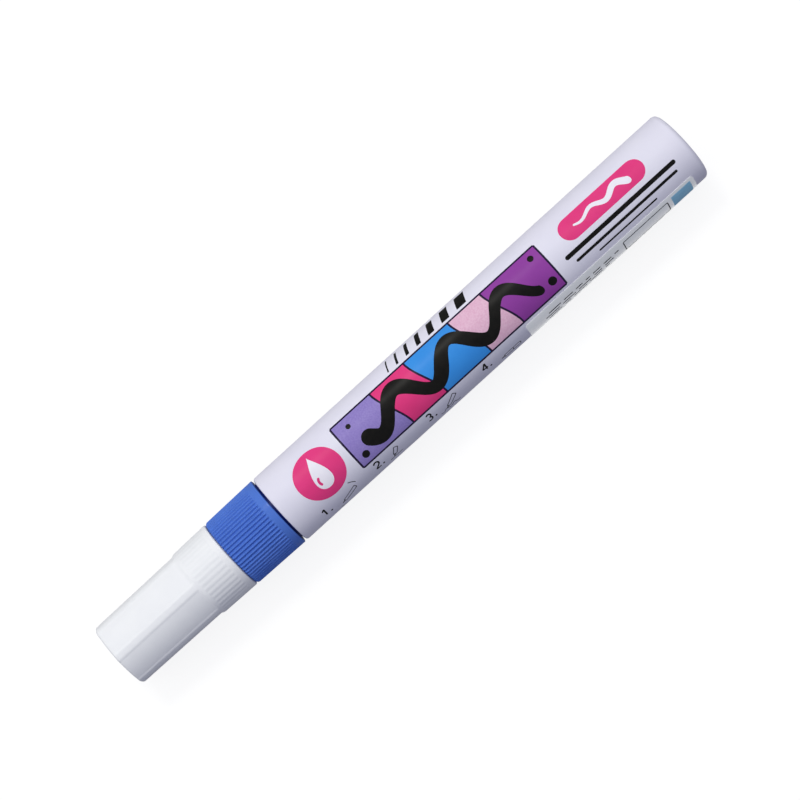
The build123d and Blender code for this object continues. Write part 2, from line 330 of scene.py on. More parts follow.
def strip(arc: np.ndarray, left: Values, right: Values, columns: int = 8) -> FlatPatch:
    """Fill the flat space between two sides: x runs evenly from the left side to the right one at each arc.

    Args:
        arc: Arc of each row.
        left: The x of the left side, at each row or the same for all.
        right: The x of the right side.
        columns: Points from side to side.

    Returns:
        The patch.
    """
    share = np.linspace(0, 1, columns)[None, :]
    left_x = np.broadcast_to(left, arc.shape)[:, None]
    right_x = np.broadcast_to(right, arc.shape)[:, None]
    x = left_x + (right_x - left_x) * share
    return x, np.broadcast_to(arc[:, None], x.shape)


def disc(x: float, arc: float, radius: float, steps: int = 25) -> FlatPatch:
    """Fill a disc.

    A square of u and v from -1 to 1 becomes u sqrt(1 - v^2 / 2) and v sqrt(1 - u^2 / 2), in radii.

    Args:
        x: Middle along the marker.
        arc: Middle round the barrel.
        radius: Radius of the disc.
        steps: Points along each side of the grid.

    Returns:
        The patch.
    """
    u, v = np.meshgrid(np.linspace(-1, 1, steps), np.linspace(-1, 1, steps))
    return x + radius * u * np.sqrt(1 - v * v / 2), arc + radius * v * np.sqrt(1 - u * u / 2)


def drop(
    x: float, arc: float, length: float, heading: float, plumpness: float, rows: int = 31, across: int = 9
) -> FlatPatch:
    """Fill a drop with a pointed tip.

    Along its length the place is cos t, from the tip at t = 0 to the round end at t = 180 degrees, in half
    lengths. Its half width there is sin t sin^1.5 (t / 2), in the same measure times its plumpness.

    Args:
        x: Middle along the marker.
        arc: Middle round the barrel.
        length: Length from tip to end.
        heading: Direction of the tip in degrees, from +x towards growing arc.
        plumpness: How wide the drop is for its length.
        rows: Points along it.
        across: Points from side to side.

    Returns:
        The patch.
    """
    turn = np.linspace(BLUNT_TURN, math.pi - BLUNT_TURN, rows)[:, None]
    along = np.cos(turn) * length / 2
    half_width = plumpness * np.sin(turn) * np.sin(turn / 2) ** 1.5 * length / 2
    side = half_width * np.linspace(-1, 1, across)[None, :]
    cosine, sine = math.cos(math.radians(heading)), math.sin(math.radians(heading))
    return x + along * cosine - side * sine, arc + along * sine + side * cosine


def stroke(path: np.ndarray, half_width: Values, across: int = 5, end_steps: int = 7) -> FlatPatch:
    """Draw a line with round ends: a width carried along a path.

    The path is laid out anew by its length, in rows close enough together to follow the barrel's curve. Each
    point's offsets to both sides are along the path's normal, up to the half width w there. Near an end that
    shrinks as a circle does, to w sqrt(1 - (1 - d / w)^2) at a distance d from the end.

    Args:
        path: The x and arc of each point of the middle line.
        half_width: Half of the line's width, at each point or the same for all.
        across: Points from side to side.
        end_steps: Rows on each round end.

    Returns:
        The patch.
    """
    lengths = np.concatenate([[0], np.cumsum(np.hypot(*np.diff(path, axis=0).T))])
    widths = np.broadcast_to(half_width, lengths.shape)
    total, first, last = lengths[-1], float(widths[0]), float(widths[-1])
    bend = 1 - np.cos(np.linspace(BLUNT_TURN, math.pi / 2, end_steps))
    rows = max(len(path), FEWEST_ROWS, math.ceil(total / PRINT_PITCH))
    middle = np.linspace(first, total - last, rows)[1:-1]
    place = np.concatenate([first * bend, middle, (total - last * bend)[::-1]])
    x, arc = np.interp(place, lengths, path[:, 0]), np.interp(place, lengths, path[:, 1])
    width = np.interp(place, lengths, widths)
    near = np.minimum(place / first, (total - place) / last).clip(0, 1)
    width = width * np.sqrt(1 - (1 - near) ** 2)
    slope = np.stack([np.gradient(x, place), np.gradient(arc, place)], axis=-1)
    slope /= np.linalg.norm(slope, axis=1, keepdims=True)
    side = np.linspace(-1, 1, across)[None, :] * width[:, None]
    return x[:, None] - slope[:, 1:] * side, arc[:, None] + slope[:, :1] * side


def circle_arc(x: float, y: float, radius: float, start: float, end: float, steps: int = 18) -> np.ndarray:
    """Points on part of a circle, from one angle to another in degrees."""
    angle = np.radians(np.linspace(start, end, steps))
    return np.column_stack([x + radius * np.cos(angle), y + radius * np.sin(angle)])


def polyline(*points: tuple[float, float]) -> np.ndarray:
    """Points of a line with straight runs."""
    return np.array(points, float)


def level_line(start: float, end: float, arc: float, steps: int) -> np.ndarray:
    """Points on a straight line along the marker, all at one arc."""
    return np.column_stack([np.linspace(start, end, steps), np.full(steps, arc)])


def bunched(steps: int) -> np.ndarray:
    """Shares from 0 to 1 that crowd towards both ends, as (1 - cos t) / 2 does."""
    return (1 - np.cos(np.linspace(0, math.pi, steps))) / 2


class NodeSheet:
    """A node tree that is being filled."""

    spread = 220

    def __init__(self, tree: bpy.types.NodeTree) -> None:
        """Start on an empty tree."""
        self.tree = tree
        self.tree.nodes.clear()

    def add(self, kind: str, inputs: dict[str | int, Any] | None = None, **settings: Any) -> bpy.types.Node:
        """Add a node.

        Args:
            kind: Its Blender type.
            inputs: For each input, by name or number, a value or the output that feeds it.
            **settings: Properties to set before the inputs.

        Returns:
            The node.
        """
        node = self.tree.nodes.new(kind)
        node.location = (self.spread * len(self.tree.nodes), 0)
        for name, value in settings.items():
            setattr(node, name, value)
        for key, value in (inputs or {}).items():
            if isinstance(value, Socket):
                self.tree.links.new(value, node.inputs[key])
            else:
                node.inputs[key].default_value = value
        return node

    def math(self, operation: str, first: Any, second: Any) -> Socket:
        """Result of a sum on two values or outputs."""
        return self.add("ShaderNodeMath", {0: first, 1: second}, operation=operation).outputs[0]

    def mix(self, share: Any, first: Any, second: Any) -> Socket:
        """Mix of two colours."""
        return self.add("ShaderNodeMix", {0: share, 6: first, 7: second}, data_type="RGBA").outputs[2]

    def noise(self, scale: Any, detail: float, stretch: Triple = (1, 1, 1)) -> Socket:
        """Lay noise on the piece's own coordinates.

        Args:
            scale: How many waves it has in a metre.
            detail: How many finer layers lie on it.
            stretch: Scale along each axis, where less draws the noise out.

        Returns:
            The noise, from 0 to 1.
        """
        place = self.add("ShaderNodeTexCoord").outputs["Object"]
        place = self.add("ShaderNodeMapping", {"Vector": place, "Scale": stretch}).outputs[0]
        given = {"Vector": place, "Scale": scale, "Detail": detail}
        return self.add("ShaderNodeTexNoise", given).outputs["Fac"]

    def spread_out(self, value: Any, low: float, high: float, bottom: float, top: float) -> Socket:
        """Value with the range from low to high stretched to that from bottom to top."""
        given = {"Value": value, "From Min": low, "From Max": high, "To Min": bottom, "To Max": top}
        return self.add("ShaderNodeMapRange", given).outputs[0]

    def group(self, tree: bpy.types.NodeTree, **inputs: Any) -> Socket:
        """First output of a node group with these inputs."""
        return self.add("ShaderNodeGroup", inputs, node_tree=tree).outputs[0]


class Effects:
    """The node groups that finishes share, each built once."""

    number = "NodeSocketFloat"
    colour = "NodeSocketColor"
    patch_range = (0.36, 0.64)
    noise_range = (0.3, 0.7)
    painted_shade_range = (0.7, 1.0)
    painted_shade_scale = 900.0
    coarse_share = 0.21

    def __init__(self) -> None:
        """Build all the groups."""
        self.flecks = self._flecks()
        self.unevenness = self._unevenness()
        self.grain = self._grain()
        self.painted_shade_and_edge = self._painted_shade_and_edge()

    def _start(self, name: str, inputs: dict[str, str], output: str, kind: str) -> tuple[NodeSheet, Any, Any]:
        """Start a group.

        Args:
            name: Its name.
            inputs: Name and socket type of each input.
            output: Name of its output.
            kind: Socket type of the output.

        Returns:
            The sheet, the inputs' sockets by name, and the node that takes the output.
        """
        tree = bpy.data.node_groups.new(name, "ShaderNodeTree")
        for label, socket_type in inputs.items():
            tree.interface.new_socket(label, in_out="INPUT", socket_type=socket_type)
        tree.interface.new_socket(output, in_out="OUTPUT", socket_type=kind)
        sheet = NodeSheet(tree)
        given = sheet.add("NodeGroupInput").outputs
        return sheet, given, sheet.add("NodeGroupOutput")

    def _flecks(self) -> bpy.types.NodeTree:
        """Lay soft patches of a second colour on one.

        Returns:
            The group.
        """
        names = {"Colour": self.colour, "Fleck": self.colour, "Scale": self.number, "Amount": self.number}
        sheet, given, out = self._start("flecks", names, "Colour", self.colour)
        patches = sheet.spread_out(sheet.noise(given["Scale"], detail=3.0), *self.patch_range, 0.0, 1.0)
        share = sheet.math("MULTIPLY", patches, given["Amount"])
        sheet.tree.links.new(sheet.mix(share, given["Colour"], given["Fleck"]), out.inputs[0])
        return sheet.tree

    def _unevenness(self) -> bpy.types.NodeTree:
        """Let a value change a little over the surface, as handled gloss does.

        Returns:
            The group.
        """
        names = {"Value": self.number, "Spread": self.number, "Scale": self.number}
        sheet, given, out = self._start("unevenness", names, "Value", self.number)
        swing = sheet.spread_out(sheet.noise(given["Scale"], detail=4.0), *self.noise_range, -1.0, 1.0)
        change = sheet.math("MULTIPLY", swing, given["Spread"])
        sheet.tree.links.new(sheet.math("ADD", change, given["Value"]), out.inputs[0])
        return sheet.tree

    def _grain(self) -> bpy.types.NodeTree:
        """Add a fine grain to a coarser one.

        Returns:
            The group.
        """
        sheet, given, out = self._start("grain", {"Scale": self.number}, "Height", self.number)
        fine = sheet.noise(given["Scale"], detail=2.0)
        coarse = sheet.noise(sheet.math("MULTIPLY", given["Scale"], self.coarse_share), detail=1.0)
        sheet.tree.links.new(sheet.math("ADD", fine, coarse), out.inputs[0])
        return sheet.tree

    def _painted_shade_and_edge(self) -> bpy.types.NodeTree:
        """Lay painted shade in gaps and grooves, and a sticker's pale edge, unevenly where a piece's mask
        says so.

        Returns:
            The group.
        """
        names = {"Colour": self.colour, "Soil": self.colour, "Amount": self.number}
        sheet, given, out = self._start("painted_shade_and_edge", names, "Colour", self.colour)
        painted_shade_and_edge_mask = sheet.add("ShaderNodeAttribute", attribute_name="painted_shade_and_edge_mask").outputs["Fac"]
        patches = sheet.noise(self.painted_shade_scale, detail=3.0)
        uneven = sheet.spread_out(patches, *self.noise_range, *self.painted_shade_range)
        share = sheet.math("MULTIPLY", sheet.math("MULTIPLY", painted_shade_and_edge_mask, uneven), given["Amount"])
        sheet.tree.links.new(sheet.mix(share, given["Colour"], given["Soil"]), out.inputs[0])
        return sheet.tree


@dataclass(frozen=True)
class Finish:
    """A surface: its colour with flecks, a second colour over its mask, a fine grain, and gloss with smudges.

    The second colour is painted shade in gaps and flute grooves, and a pale edge on the sticker. Most
    finishes get their gloss from a thin clear coat alone.
    """

    name: str
    colour: Colour
    fleck: Colour
    fleck_size: float = 4.0
    fleck_amount: float = 0.3
    # Painted shade for gaps and grooves, and a pale edge on the sticker, with how much of it shows
    painted_shade_and_edge: Colour = (0.05, 0.05, 0.06, 1.0)
    painted_shade_and_edge_amount: float = 0.0
    roughness: float = 0.4
    smudge: float = 0.05
    smudge_size: float = 6.0
    grain_size: float = 0.3
    grain_depth: float = 0.002
    specular: float = 0.0
    coat: float = 1.0
    coat_roughness: float = 0.3
    coat_smudge: float = 0.25
    metallic: float = 0.0

    def height(self, sheet: NodeSheet, effects: Effects) -> Socket:
        """Height of the finish's grain."""
        return sheet.group(effects.grain, Scale=1 / (self.grain_size * MM))

    def material(self, effects: Effects) -> bpy.types.Material:
        """Make the material.

        Args:
            effects: The shared node groups.

        Returns:
            The material.
        """
        material = bpy.data.materials.new(self.name)
        material.use_nodes = True
        sheet = NodeSheet(material.node_tree)
        colour = sheet.group(
            effects.flecks,
            Colour=self.colour,
            Fleck=self.fleck,
            Scale=1 / (self.fleck_size * MM),
            Amount=self.fleck_amount,
        )
        # Painted shade in gaps and grooves, and the sticker's pale edge, over the flecked colour
        if self.painted_shade_and_edge_amount:
            colour = sheet.group(effects.painted_shade_and_edge, Colour=colour, Soil=self.painted_shade_and_edge, Amount=self.painted_shade_and_edge_amount)
        scale = 1 / (self.smudge_size * MM)
        roughness = sheet.group(effects.unevenness, Value=self.roughness, Spread=self.smudge, Scale=scale)
        coat: float | Socket = self.coat
        if self.coat:
            spread = self.coat * self.coat_smudge
            coat = sheet.group(effects.unevenness, Value=self.coat, Spread=spread, Scale=scale)
        height = self.height(sheet, effects)
        given = {"Strength": 1.0, "Distance": self.grain_depth * MM, "Height": height}
        bump = sheet.add("ShaderNodeBump", given)
        shader = sheet.add(
            "ShaderNodeBsdfPrincipled",
            {
                "Base Color": colour,
                "Roughness": roughness,
                "Normal": bump.outputs[0],
                "Specular IOR Level": self.specular,
                "Metallic": self.metallic,
                "Coat Weight": coat,
                "Coat Roughness": self.coat_roughness,
            },
        )
        sheet.add("ShaderNodeOutputMaterial", {"Surface": shader.outputs[0]})
        material.diffuse_color = self.colour
        return material


@dataclass(frozen=True)
class FibreFinish(Finish):
    """A finish whose grain runs lengthwise, as in bonded fibre."""

    stretch: Triple = (0.05, 1.0, 1.0)

    def height(self, sheet: NodeSheet, effects: Effects) -> Socket:
        """Height of fibres: noise drawn out along the marker."""
        return sheet.noise(1 / (self.grain_size * MM), detail=3.0, stretch=self.stretch)


class Finishes:
    """All the marker's finishes, made into materials when they are first asked for."""

    lacquer = Finish(
        "white_lacquer", screen(228, 227, 239), screen(223, 222, 236), 5.0, 0.5,
        # Painted shade: navy on the can's rolled mouth, in the gap behind the collar
        painted_shade_and_edge=screen(10, 30, 112), painted_shade_and_edge_amount=1.0,
        roughness=0.46, smudge=0.05, grain_size=0.7, grain_depth=0.002, coat=0.2, coat_roughness=0.4,
    )
    collar = Finish(
        "blue_collar_plastic", screen(81, 121, 208), screen(77, 116, 203), 2.4, 0.5,
        # Painted shade, faint, in the flutes' grooves
        painted_shade_and_edge=screen(24, 46, 112), painted_shade_and_edge_amount=0.06,
        roughness=0.26, smudge=0.05, grain_size=0.18, grain_depth=0.001, coat=0.12, coat_roughness=0.18,
    )
    cap = Finish(
        "white_cap_plastic", screen(241, 243, 244), screen(237, 239, 241), 3.0, 0.5,
        # Painted shade, faint, in the skirt's flute grooves
        painted_shade_and_edge=screen(200, 208, 206), painted_shade_and_edge_amount=0.1,
        roughness=0.45, smudge=0.06, grain_size=0.22, grain_depth=0.001, coat=0.2, coat_roughness=0.4,
    )
    liner = Finish(
        "milky_liner_plastic", screen(228, 230, 228), screen(218, 222, 220), 3.0, 0.4, roughness=0.4,
    )
    holder = Finish(
        "white_holder_plastic", screen(232, 234, 238), screen(226, 229, 234), 3.0, 0.5,
        # Painted shade: navy on the spacer in the gap between the collar and the barrel
        painted_shade_and_edge=screen(10, 30, 112), painted_shade_and_edge_amount=1.0,
        roughness=0.4, grain_size=0.25, grain_depth=0.002, coat=0.15,
    )
    nib = FibreFinish(
        "bonded_fibre", screen(233, 232, 226), screen(205, 208, 212), 0.5, 0.5,
        roughness=0.9, grain_size=0.07, grain_depth=0.03, specular=0.15, coat=0.0,
    )
    rubber = Finish(
        "seal_rubber", screen(44, 44, 46), screen(58, 58, 58), 0.6, 0.5,
        roughness=0.75, smudge=0.1, grain_size=0.12, grain_depth=0.01, specular=0.3, coat=0.0,
    )
    valve = Finish("valve_plastic", screen(222, 222, 214), screen(210, 211, 204), 2.0, 0.5, roughness=0.38)
    spring = Finish(
        "spring_wire", screen(196, 198, 202), screen(160, 162, 168), 0.4, 0.4,
        roughness=0.25, smudge=0.08, grain_size=0.05, grain_depth=0.002, specular=0.5, metallic=1.0, coat=0.0,
    )
    ball = Finish(
        "polished_steel", screen(206, 208, 210), screen(186, 188, 192), 1.5, 0.4,
        roughness=0.12, smudge=0.06, grain_size=0.1, grain_depth=0.0005, specular=0.5, metallic=1.0, coat=0.0,
    )
    sticker = Finish(
        "sticker_film", screen(244, 247, 246), screen(236, 242, 240), 2.5, 0.6,
        painted_shade_and_edge=screen(252, 253, 254), painted_shade_and_edge_amount=0.9,
        roughness=0.16, grain_size=0.5, grain_depth=0.001, specular=1.0, coat=0.6, coat_roughness=0.2,
    )

    def __init__(self) -> None:
        """Build the shared effects; no material is made yet."""
        self.effects = Effects()
        self.made: dict[str, bpy.types.Material] = {}

    def of(self, finish: Finish) -> bpy.types.Material:
        """Find a finish's material, or make it.

        Args:
            finish: The finish.

        Returns:
            Its material, the same one each time.
        """
        if finish.name not in self.made:
            self.made[finish.name] = finish.material(self.effects)
        return self.made[finish.name]


class Ink(Enum):
    """The printing inks: colour, flecks and their size and amount."""

    BLACK = ("black", screen(17, 17, 17), screen(27, 26, 24), 1.2, 0.5)
    MAGENTA = ("magenta", screen(229, 65, 131), screen(221, 57, 121), 3.0, 0.5)
    SKY = ("sky", screen(62, 148, 228), screen(56, 140, 222), 4.0, 0.5)
    PURPLE = ("purple", screen(146, 68, 160), screen(138, 62, 152), 4.0, 0.5)
    PINK = ("pink", screen(222, 174, 199), screen(234, 200, 217), 0.3, 0.6)
    LAVENDER = ("lavender", screen(140, 124, 192), screen(156, 142, 204), 0.3, 0.6)
    WHITE = ("white", screen(240, 238, 246), screen(234, 232, 242), 2.0, 0.4)
    LINE = ("line", screen(32, 24, 52), screen(42, 32, 62), 1.0, 0.4)
    PATCH = ("patch", screen(163, 218, 242), screen(150, 207, 234), 1.6, 0.6)

    def finish(self) -> Finish:
        """Make the ink's finish, with a thinner and sharper gloss than the lacquer under it.

        Returns:
            The finish.
        """
        name, colour, fleck, size, amount = self.value
        return Finish(
            f"{name}_ink", colour, fleck, size, amount,
            roughness=0.32, smudge=0.04, grain_size=0.5, grain_depth=0.001, coat=0.1, coat_roughness=0.32,
        )


class Workshop:
    """Turns shells into pieces that ride on the frame."""

    def __init__(self, finishes: Finishes) -> None:
        """Keep the finishes at hand."""
        self.finishes = finishes

    def piece(
        self,
        name: str,
        shell: Shell,
        finish: Finish,
        body: Body,
        slot: str | None = None,
        stands_for: Sequence[str] = (),
    ) -> bpy.types.Object:
        """Make a piece from a closed shell.

        Args:
            name: Name of the piece.
            shell: Its surface, in millimetres.
            finish: Its finish.
            body: The body that it rides on.
            slot: The record's material slot, if it has one. Not used.
            stands_for: The CAD nodes that it replaces.

        Returns:
            The object.
        """
        mesh = bpy.data.meshes.new(name)
        totals = np.concatenate([np.full(len(block), block.shape[1]) for block in shell.faces])
        corners = np.concatenate([block.ravel() for block in shell.faces]).astype(np.int32)
        starts = np.concatenate([[0], np.cumsum(totals)[:-1]]).astype(np.int32)
        mesh.vertices.add(len(shell.points))
        mesh.vertices.foreach_set("co", (shell.points * MM).astype(np.float32).ravel())
        mesh.loops.add(len(corners))
        mesh.polygons.add(len(totals))
        mesh.polygons.foreach_set("loop_start", starts)
        mesh.polygons.foreach_set("vertices", corners)
        mesh.polygons.foreach_set("use_smooth", np.ones(len(totals), bool))
        mesh.update(calc_edges=True)
        mesh.validate()
        mesh.set_sharp_from_angle(angle=SHARP_ANGLE)
        # The mask for painted shade, and for the sticker's pale edge
        if shell.painted_shade_and_edge_mask is not None:
            painted_shade_and_edge_mask = mesh.attributes.new("painted_shade_and_edge_mask", "FLOAT", "POINT")
            painted_shade_and_edge_mask.data.foreach_set("value", shell.painted_shade_and_edge_mask.astype(np.float32).ravel())
        mesh.materials.append(self.finishes.of(finish))
        piece = bpy.data.objects.new(name, mesh)
        bpy.context.scene.collection.objects.link(piece)
        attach(piece, body.value)
        if stands_for:
            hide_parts(*stands_for)
        LOG.info("%s: %d points on body %s", name, len(shell.points), body.value)
        return piece

    def dress(self, node: str, finish: Finish) -> None:
        """Give a CAD node that stays its finish.

        Args:
            node: Name of the node.
            finish: Its finish.
        """
        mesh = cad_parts[node].data
        mesh.materials.clear()
        mesh.materials.append(self.finishes.of(finish))
        LOG.info("%s: CAD node in %s", node, finish.name)


@dataclass
class Barrel:
    """The lacquered can: closed at the rear, rolled in at the mouth."""

    front: float = BARREL_FRONT
    rear: float = 69.2
    radius: float = BARREL_RADIUS
    bore: float = 6.9
    mouth: float = 5.6
    lip_rear: float = -28.6
    chamber_rear: float = 68.3
    end_rounding: float = 1.0
    shoulder_rounding: float = 0.5
    lip_rounding: float = 0.15
    # Share of the shoulder's rounding, rolled in past which the shoulder gets painted shade
    painted_shade_share: float = 0.38
    columns: int = 240
    rows: int = 34

    def shell(self) -> Shell:
        """Turn the can as one closed wall: outside, over the rolled mouth, and back along the bore.

        The shoulder and the face inside it get painted shade from where the shoulder has rolled in by the
        shade's share of its rounding.

        Returns:
            The can, with the painted shade as its mask.
        """
        outline = rounded_outline(
            [
                (self.rear, 0, 0),
                (self.rear, self.radius, self.end_rounding),
                (self.front, self.radius, self.shoulder_rounding),
                (self.front, self.mouth, self.lip_rounding),
                (self.lip_rear, self.mouth, 0),
                (self.lip_rear, self.bore, 0),
                (self.chamber_rear, self.bore, self.end_rounding - self.radius + self.bore),
                (self.chamber_rear, 0, 0),
            ],
            steps=10,
        )
        wall_rear, wall_front = self.rear - self.end_rounding, self.front + self.shoulder_rounding
        stations = np.linspace(wall_rear, wall_front, self.rows)[1:-1]
        outline = with_stations(outline, stations, nearest_row(outline, wall_rear, self.radius))
        shell = turned(outline, self.columns)
        x, radius = outline[1:-1].T
        # Painted shade on the rolled mouth, in the gap behind the collar
        shaded = (x < self.lip_rear) & (radius < self.radius - self.shoulder_rounding * self.painted_shade_share)
        shell.painted_shade_and_edge_mask = with_tips(np.repeat(shaded * COVERED, self.columns))
        return shell

    def build(self, shop: Workshop) -> None:
        """Make the barrel in place of its CAD node."""
        shop.piece("barrel_can", self.shell(), Finishes.lacquer, Body.MARKER, "barrel_lacquer", ["barrel"])


class Step(Enum):
    """The marker's use in four steps: a numeral, then the marker's lean and length in its sketch."""

    SHAKE = (1, 24.0, 4.2)
    PRESS = (2, 62.0, 2.6)
    DRAW = (3, 40.0, 3.6)
    CLOSE = (4, 0.0, 4.6)


@dataclass
class StepSketches:
    """Small sketches of the marker in use, drawn in thin lines."""

    start: tuple[float, float] = (0.4, 0.9)
    half: float = 0.42
    tip: float = 0.8
    shake_share: float = 0.72
    shake_half_turn: float = 16.0
    shake_turns: tuple[float, float] = (-50.0, 130.0)
    ground: float = 1.05
    ground_span: tuple[float, float] = (-0.6, 2.4)
    scribble_start: float = -1.0
    scribble_length: float = 4.6
    scribble_height: float = 0.35
    scribble_periods: float = 2.5
    cap_share: float = 0.62

    def lines(self, step: Step, x: float, arc: float) -> list[np.ndarray]:
        """Draw one step: the marker's outline, leaning about its tip, and what shows its use.

        Args:
            step: The step.
            x: Where the sketch starts along the barrel.
            arc: Foot of the step's numeral.

        Returns:
            The middle lines, as x and arc.
        """
        _, lean, length = step.value
        cosine, sine = math.cos(math.radians(lean)), math.sin(math.radians(lean))
        axes = np.array([(cosine, -sine), (sine, cosine)])
        origin = np.array([x + self.start[0], arc + self.start[1]])
        half, tip, ground = self.half, self.tip, arc + self.ground
        outline = [
            [(0, 0), (tip, -half / 2)],
            [(0, 0), (tip, half / 2)],
            [(tip, -half), (tip, half)],
            [(tip, -half), (length, -half)],
            [(tip, half), (length, half)],
            [(length, -half), (length, half)],
        ]
        if step is Step.CLOSE:
            cap_edge = length * self.cap_share
            outline.append([(cap_edge, -half), (cap_edge, half)])
        lines = [origin + np.array(ends) @ axes for ends in outline]
        if step is Step.SHAKE:
            middle, reach = origin + axes[0] * length / 2, length * self.shake_share
            swing = self.shake_half_turn
            lines += [circle_arc(*middle, reach, turn - swing, turn + swing) for turn in self.shake_turns]
        elif step is Step.PRESS:
            lines.append(polyline(*[(x + end, ground) for end in self.ground_span]))
        elif step is Step.DRAW:
            share = np.linspace(0, 1, num=40)
            ripple = self.scribble_height * np.sin(2 * math.pi * self.scribble_periods * share)
            along = x + self.scribble_start + self.scribble_length * share
            lines.append(np.column_stack([along, ground + ripple]))
        return lines


@dataclass
class BarrelPrint:
    """The print on the barrel: a roundel, a band of colours with a wave, line samples and numbered steps."""

    ink: float = 0.009
    line_ink: float = 0.013
    overprint: float = 0.017
    sunk: float = -0.006
    band_start: float = -13.1
    band_end: float = 36.3
    band_half: float = 4.97
    band_sway: float = 1.3
    band_joints: tuple[float, ...] = (-2.2, 6.0, 16.8, 24.6)
    band_inks: tuple[Ink, ...] = (Ink.LAVENDER, Ink.MAGENTA, Ink.SKY, Ink.PINK, Ink.PURPLE)
    line_half: float = 0.19
    wave_start: float = -9.6
    wave_end: float = 32.6
    wave_periods: float = 3.25
    wave_height: float = 2.5
    wave_half: float = 1.45
    wave_thinning: float = 0.28
    wave_swell: float = 0.1
    wave_swell_rate: float = 1.5
    wave_swell_phase: float = 0.6
    # The x, arc and radius of each splash beside the wave
    splashes: tuple[Triple, ...] = (
        (-11.1, 3.1, 0.75),
        (-10.2, -2.9, 0.5),
        (34.3, -3.2, 0.62),
        (34.6, 2.6, 0.85),
    )
    roundel_x: float = -19.7
    roundel_radius: float = 4.95
    drop_length: float = 7.0
    drop_plumpness: float = 0.72
    drop_heading: float = -90.0
    drop_shift: float = -0.35
    glint_arc: float = 1.25
    glint_radius: float = 1.05
    glint_turns: tuple[float, float] = (140.0, 235.0)
    glint_half: float = 0.24
    hatch_start: float = 1.6
    hatch_end: float = 21.6
    hatch_top: float = -9.3
    hatch_base: float = -5.75
    hatch_lean: float = 0.9
    hatch_widths: tuple[float, ...] = (0.3, 0.5, 0.75, 1.05, 1.4, 1.8, 2.25)
    capsule_start: float = 41.0
    capsule_end: float = 60.8
    capsule_arc: float = -2.45
    capsule_half: float = 2.3
    squiggle_start: float = 44.0
    squiggle_end: float = 57.4
    squiggle_height: float = 0.75
    squiggle_periods: float = 2.25
    squiggle_halves: tuple[float, float] = (0.2, 0.75)
    # Start, end, arc and half width of each straight line
    samples: tuple[tuple[float, float, float, float], ...] = (
        (38.9, 65.4, 1.3, 0.42),
        (40.2, 64.6, 2.95, 0.28),
        (44.6, 58.6, 4.45, 0.17),
    )
    step_x: tuple[float, ...] = (-24.3, -11.6, 1.2, 14.6)
    step_arc: float = 7.75
    step_height: float = 1.9
    step_half: float = 0.17
    stop_share: float = 0.95
    stop_lift: float = 0.1
    stop_radius: float = 0.22
    sketch_share: float = 1.9
    sketch_half: float = 0.08
    sketches: StepSketches = field(default_factory=StepSketches)

    def sway(self, arc: np.ndarray) -> np.ndarray:
        """How far a joint between two colours leans at each arc: half a sine wave from edge to edge."""
        return self.band_sway * np.sin(math.pi * arc / (2 * self.band_half))

    def films(self, patches: Sequence[FlatPatch], high: float) -> Shell:
        """Films of some flat patches, in one shell."""
        return joined([film(patch, self.sunk, high) for patch in patches])

    def band(self) -> dict[str, tuple[Ink, list[FlatPatch]]]:
        """Lay out the band's colours and the dark lines round and between them.

        Returns:
            The ink and the patches of each piece, by the piece's name.
        """
        arc = np.linspace(-self.band_half, self.band_half, num=41)
        sides = [np.full(arc.shape, self.band_start)]
        sides += [joint + self.sway(arc) for joint in self.band_joints]
        sides += [np.full(arc.shape, self.band_end)]
        colours = {
            f"print_band_{ink.value[0]}": (ink, [strip(arc, left, right, columns=12)])
            for ink, left, right in zip(self.band_inks, sides, sides[1:])
        }
        paths = [np.column_stack([side, arc]) for side in sides]
        edges = (-self.band_half, self.band_half)
        paths += [level_line(self.band_start, self.band_end, edge, steps=50) for edge in edges]
        lines = [stroke(path, self.line_half, across=3) for path in paths]
        return {**colours, "print_band_lines": (Ink.LINE, lines)}

    def wave(self) -> list[FlatPatch]:
        """Draw a sine wave along the band, swelling and thinning like a brush line, with splashes beside it.

        Returns:
            The patches.
        """
        share = np.linspace(0, 1, num=220)
        turns = 2 * math.pi * self.wave_periods * share
        x = self.wave_start + (self.wave_end - self.wave_start) * share
        path = np.column_stack([x, self.wave_height * np.sin(turns)])
        swell = 1 + self.wave_swell * np.sin(turns * self.wave_swell_rate + self.wave_swell_phase)
        width = self.wave_half * (1 - self.wave_thinning * share) * swell
        return [stroke(path, width, across=9)] + [disc(*splash, steps=13) for splash in self.splashes]

    def hatch(self) -> list[FlatPatch]:
        """Draw slanted bars that grow from thin to thick, with even gaps.

        Returns:
            The patches.
        """
        arc = np.linspace(self.hatch_top, self.hatch_base, num=15)
        lean = self.hatch_lean * (self.hatch_base - arc) / (self.hatch_base - self.hatch_top)
        room = self.hatch_end - self.hatch_start - sum(self.hatch_widths) - self.hatch_lean
        gap = room / (len(self.hatch_widths) - 1)
        lefts = self.hatch_start + np.cumsum([0] + [width + gap for width in self.hatch_widths[:-1]])
        bars = zip(lefts, self.hatch_widths)
        return [strip(arc, left + lean, left + width + lean, columns=4) for left, width in bars]

    def capsule(self) -> FlatPatch:
        """The long capsule near the rear."""
        path = level_line(self.capsule_start, self.capsule_end, self.capsule_arc, steps=60)
        return stroke(path, self.capsule_half, across=17, end_steps=14)

    def squiggle(self) -> FlatPatch:
        """Draw the line on the capsule: a sine wave that grows to twice its height, and from thin to thick.

        Returns:
            The patch.
        """
        share = np.linspace(0, 1, num=120)
        x = self.squiggle_start + (self.squiggle_end - self.squiggle_start) * share
        ripple = self.squiggle_height * np.sin(2 * math.pi * self.squiggle_periods * share) * (1 + share) / 2
        thin, thick = self.squiggle_halves
        path = np.column_stack([x, self.capsule_arc + ripple])
        return stroke(path, thin + (thick - thin) * share, across=7)

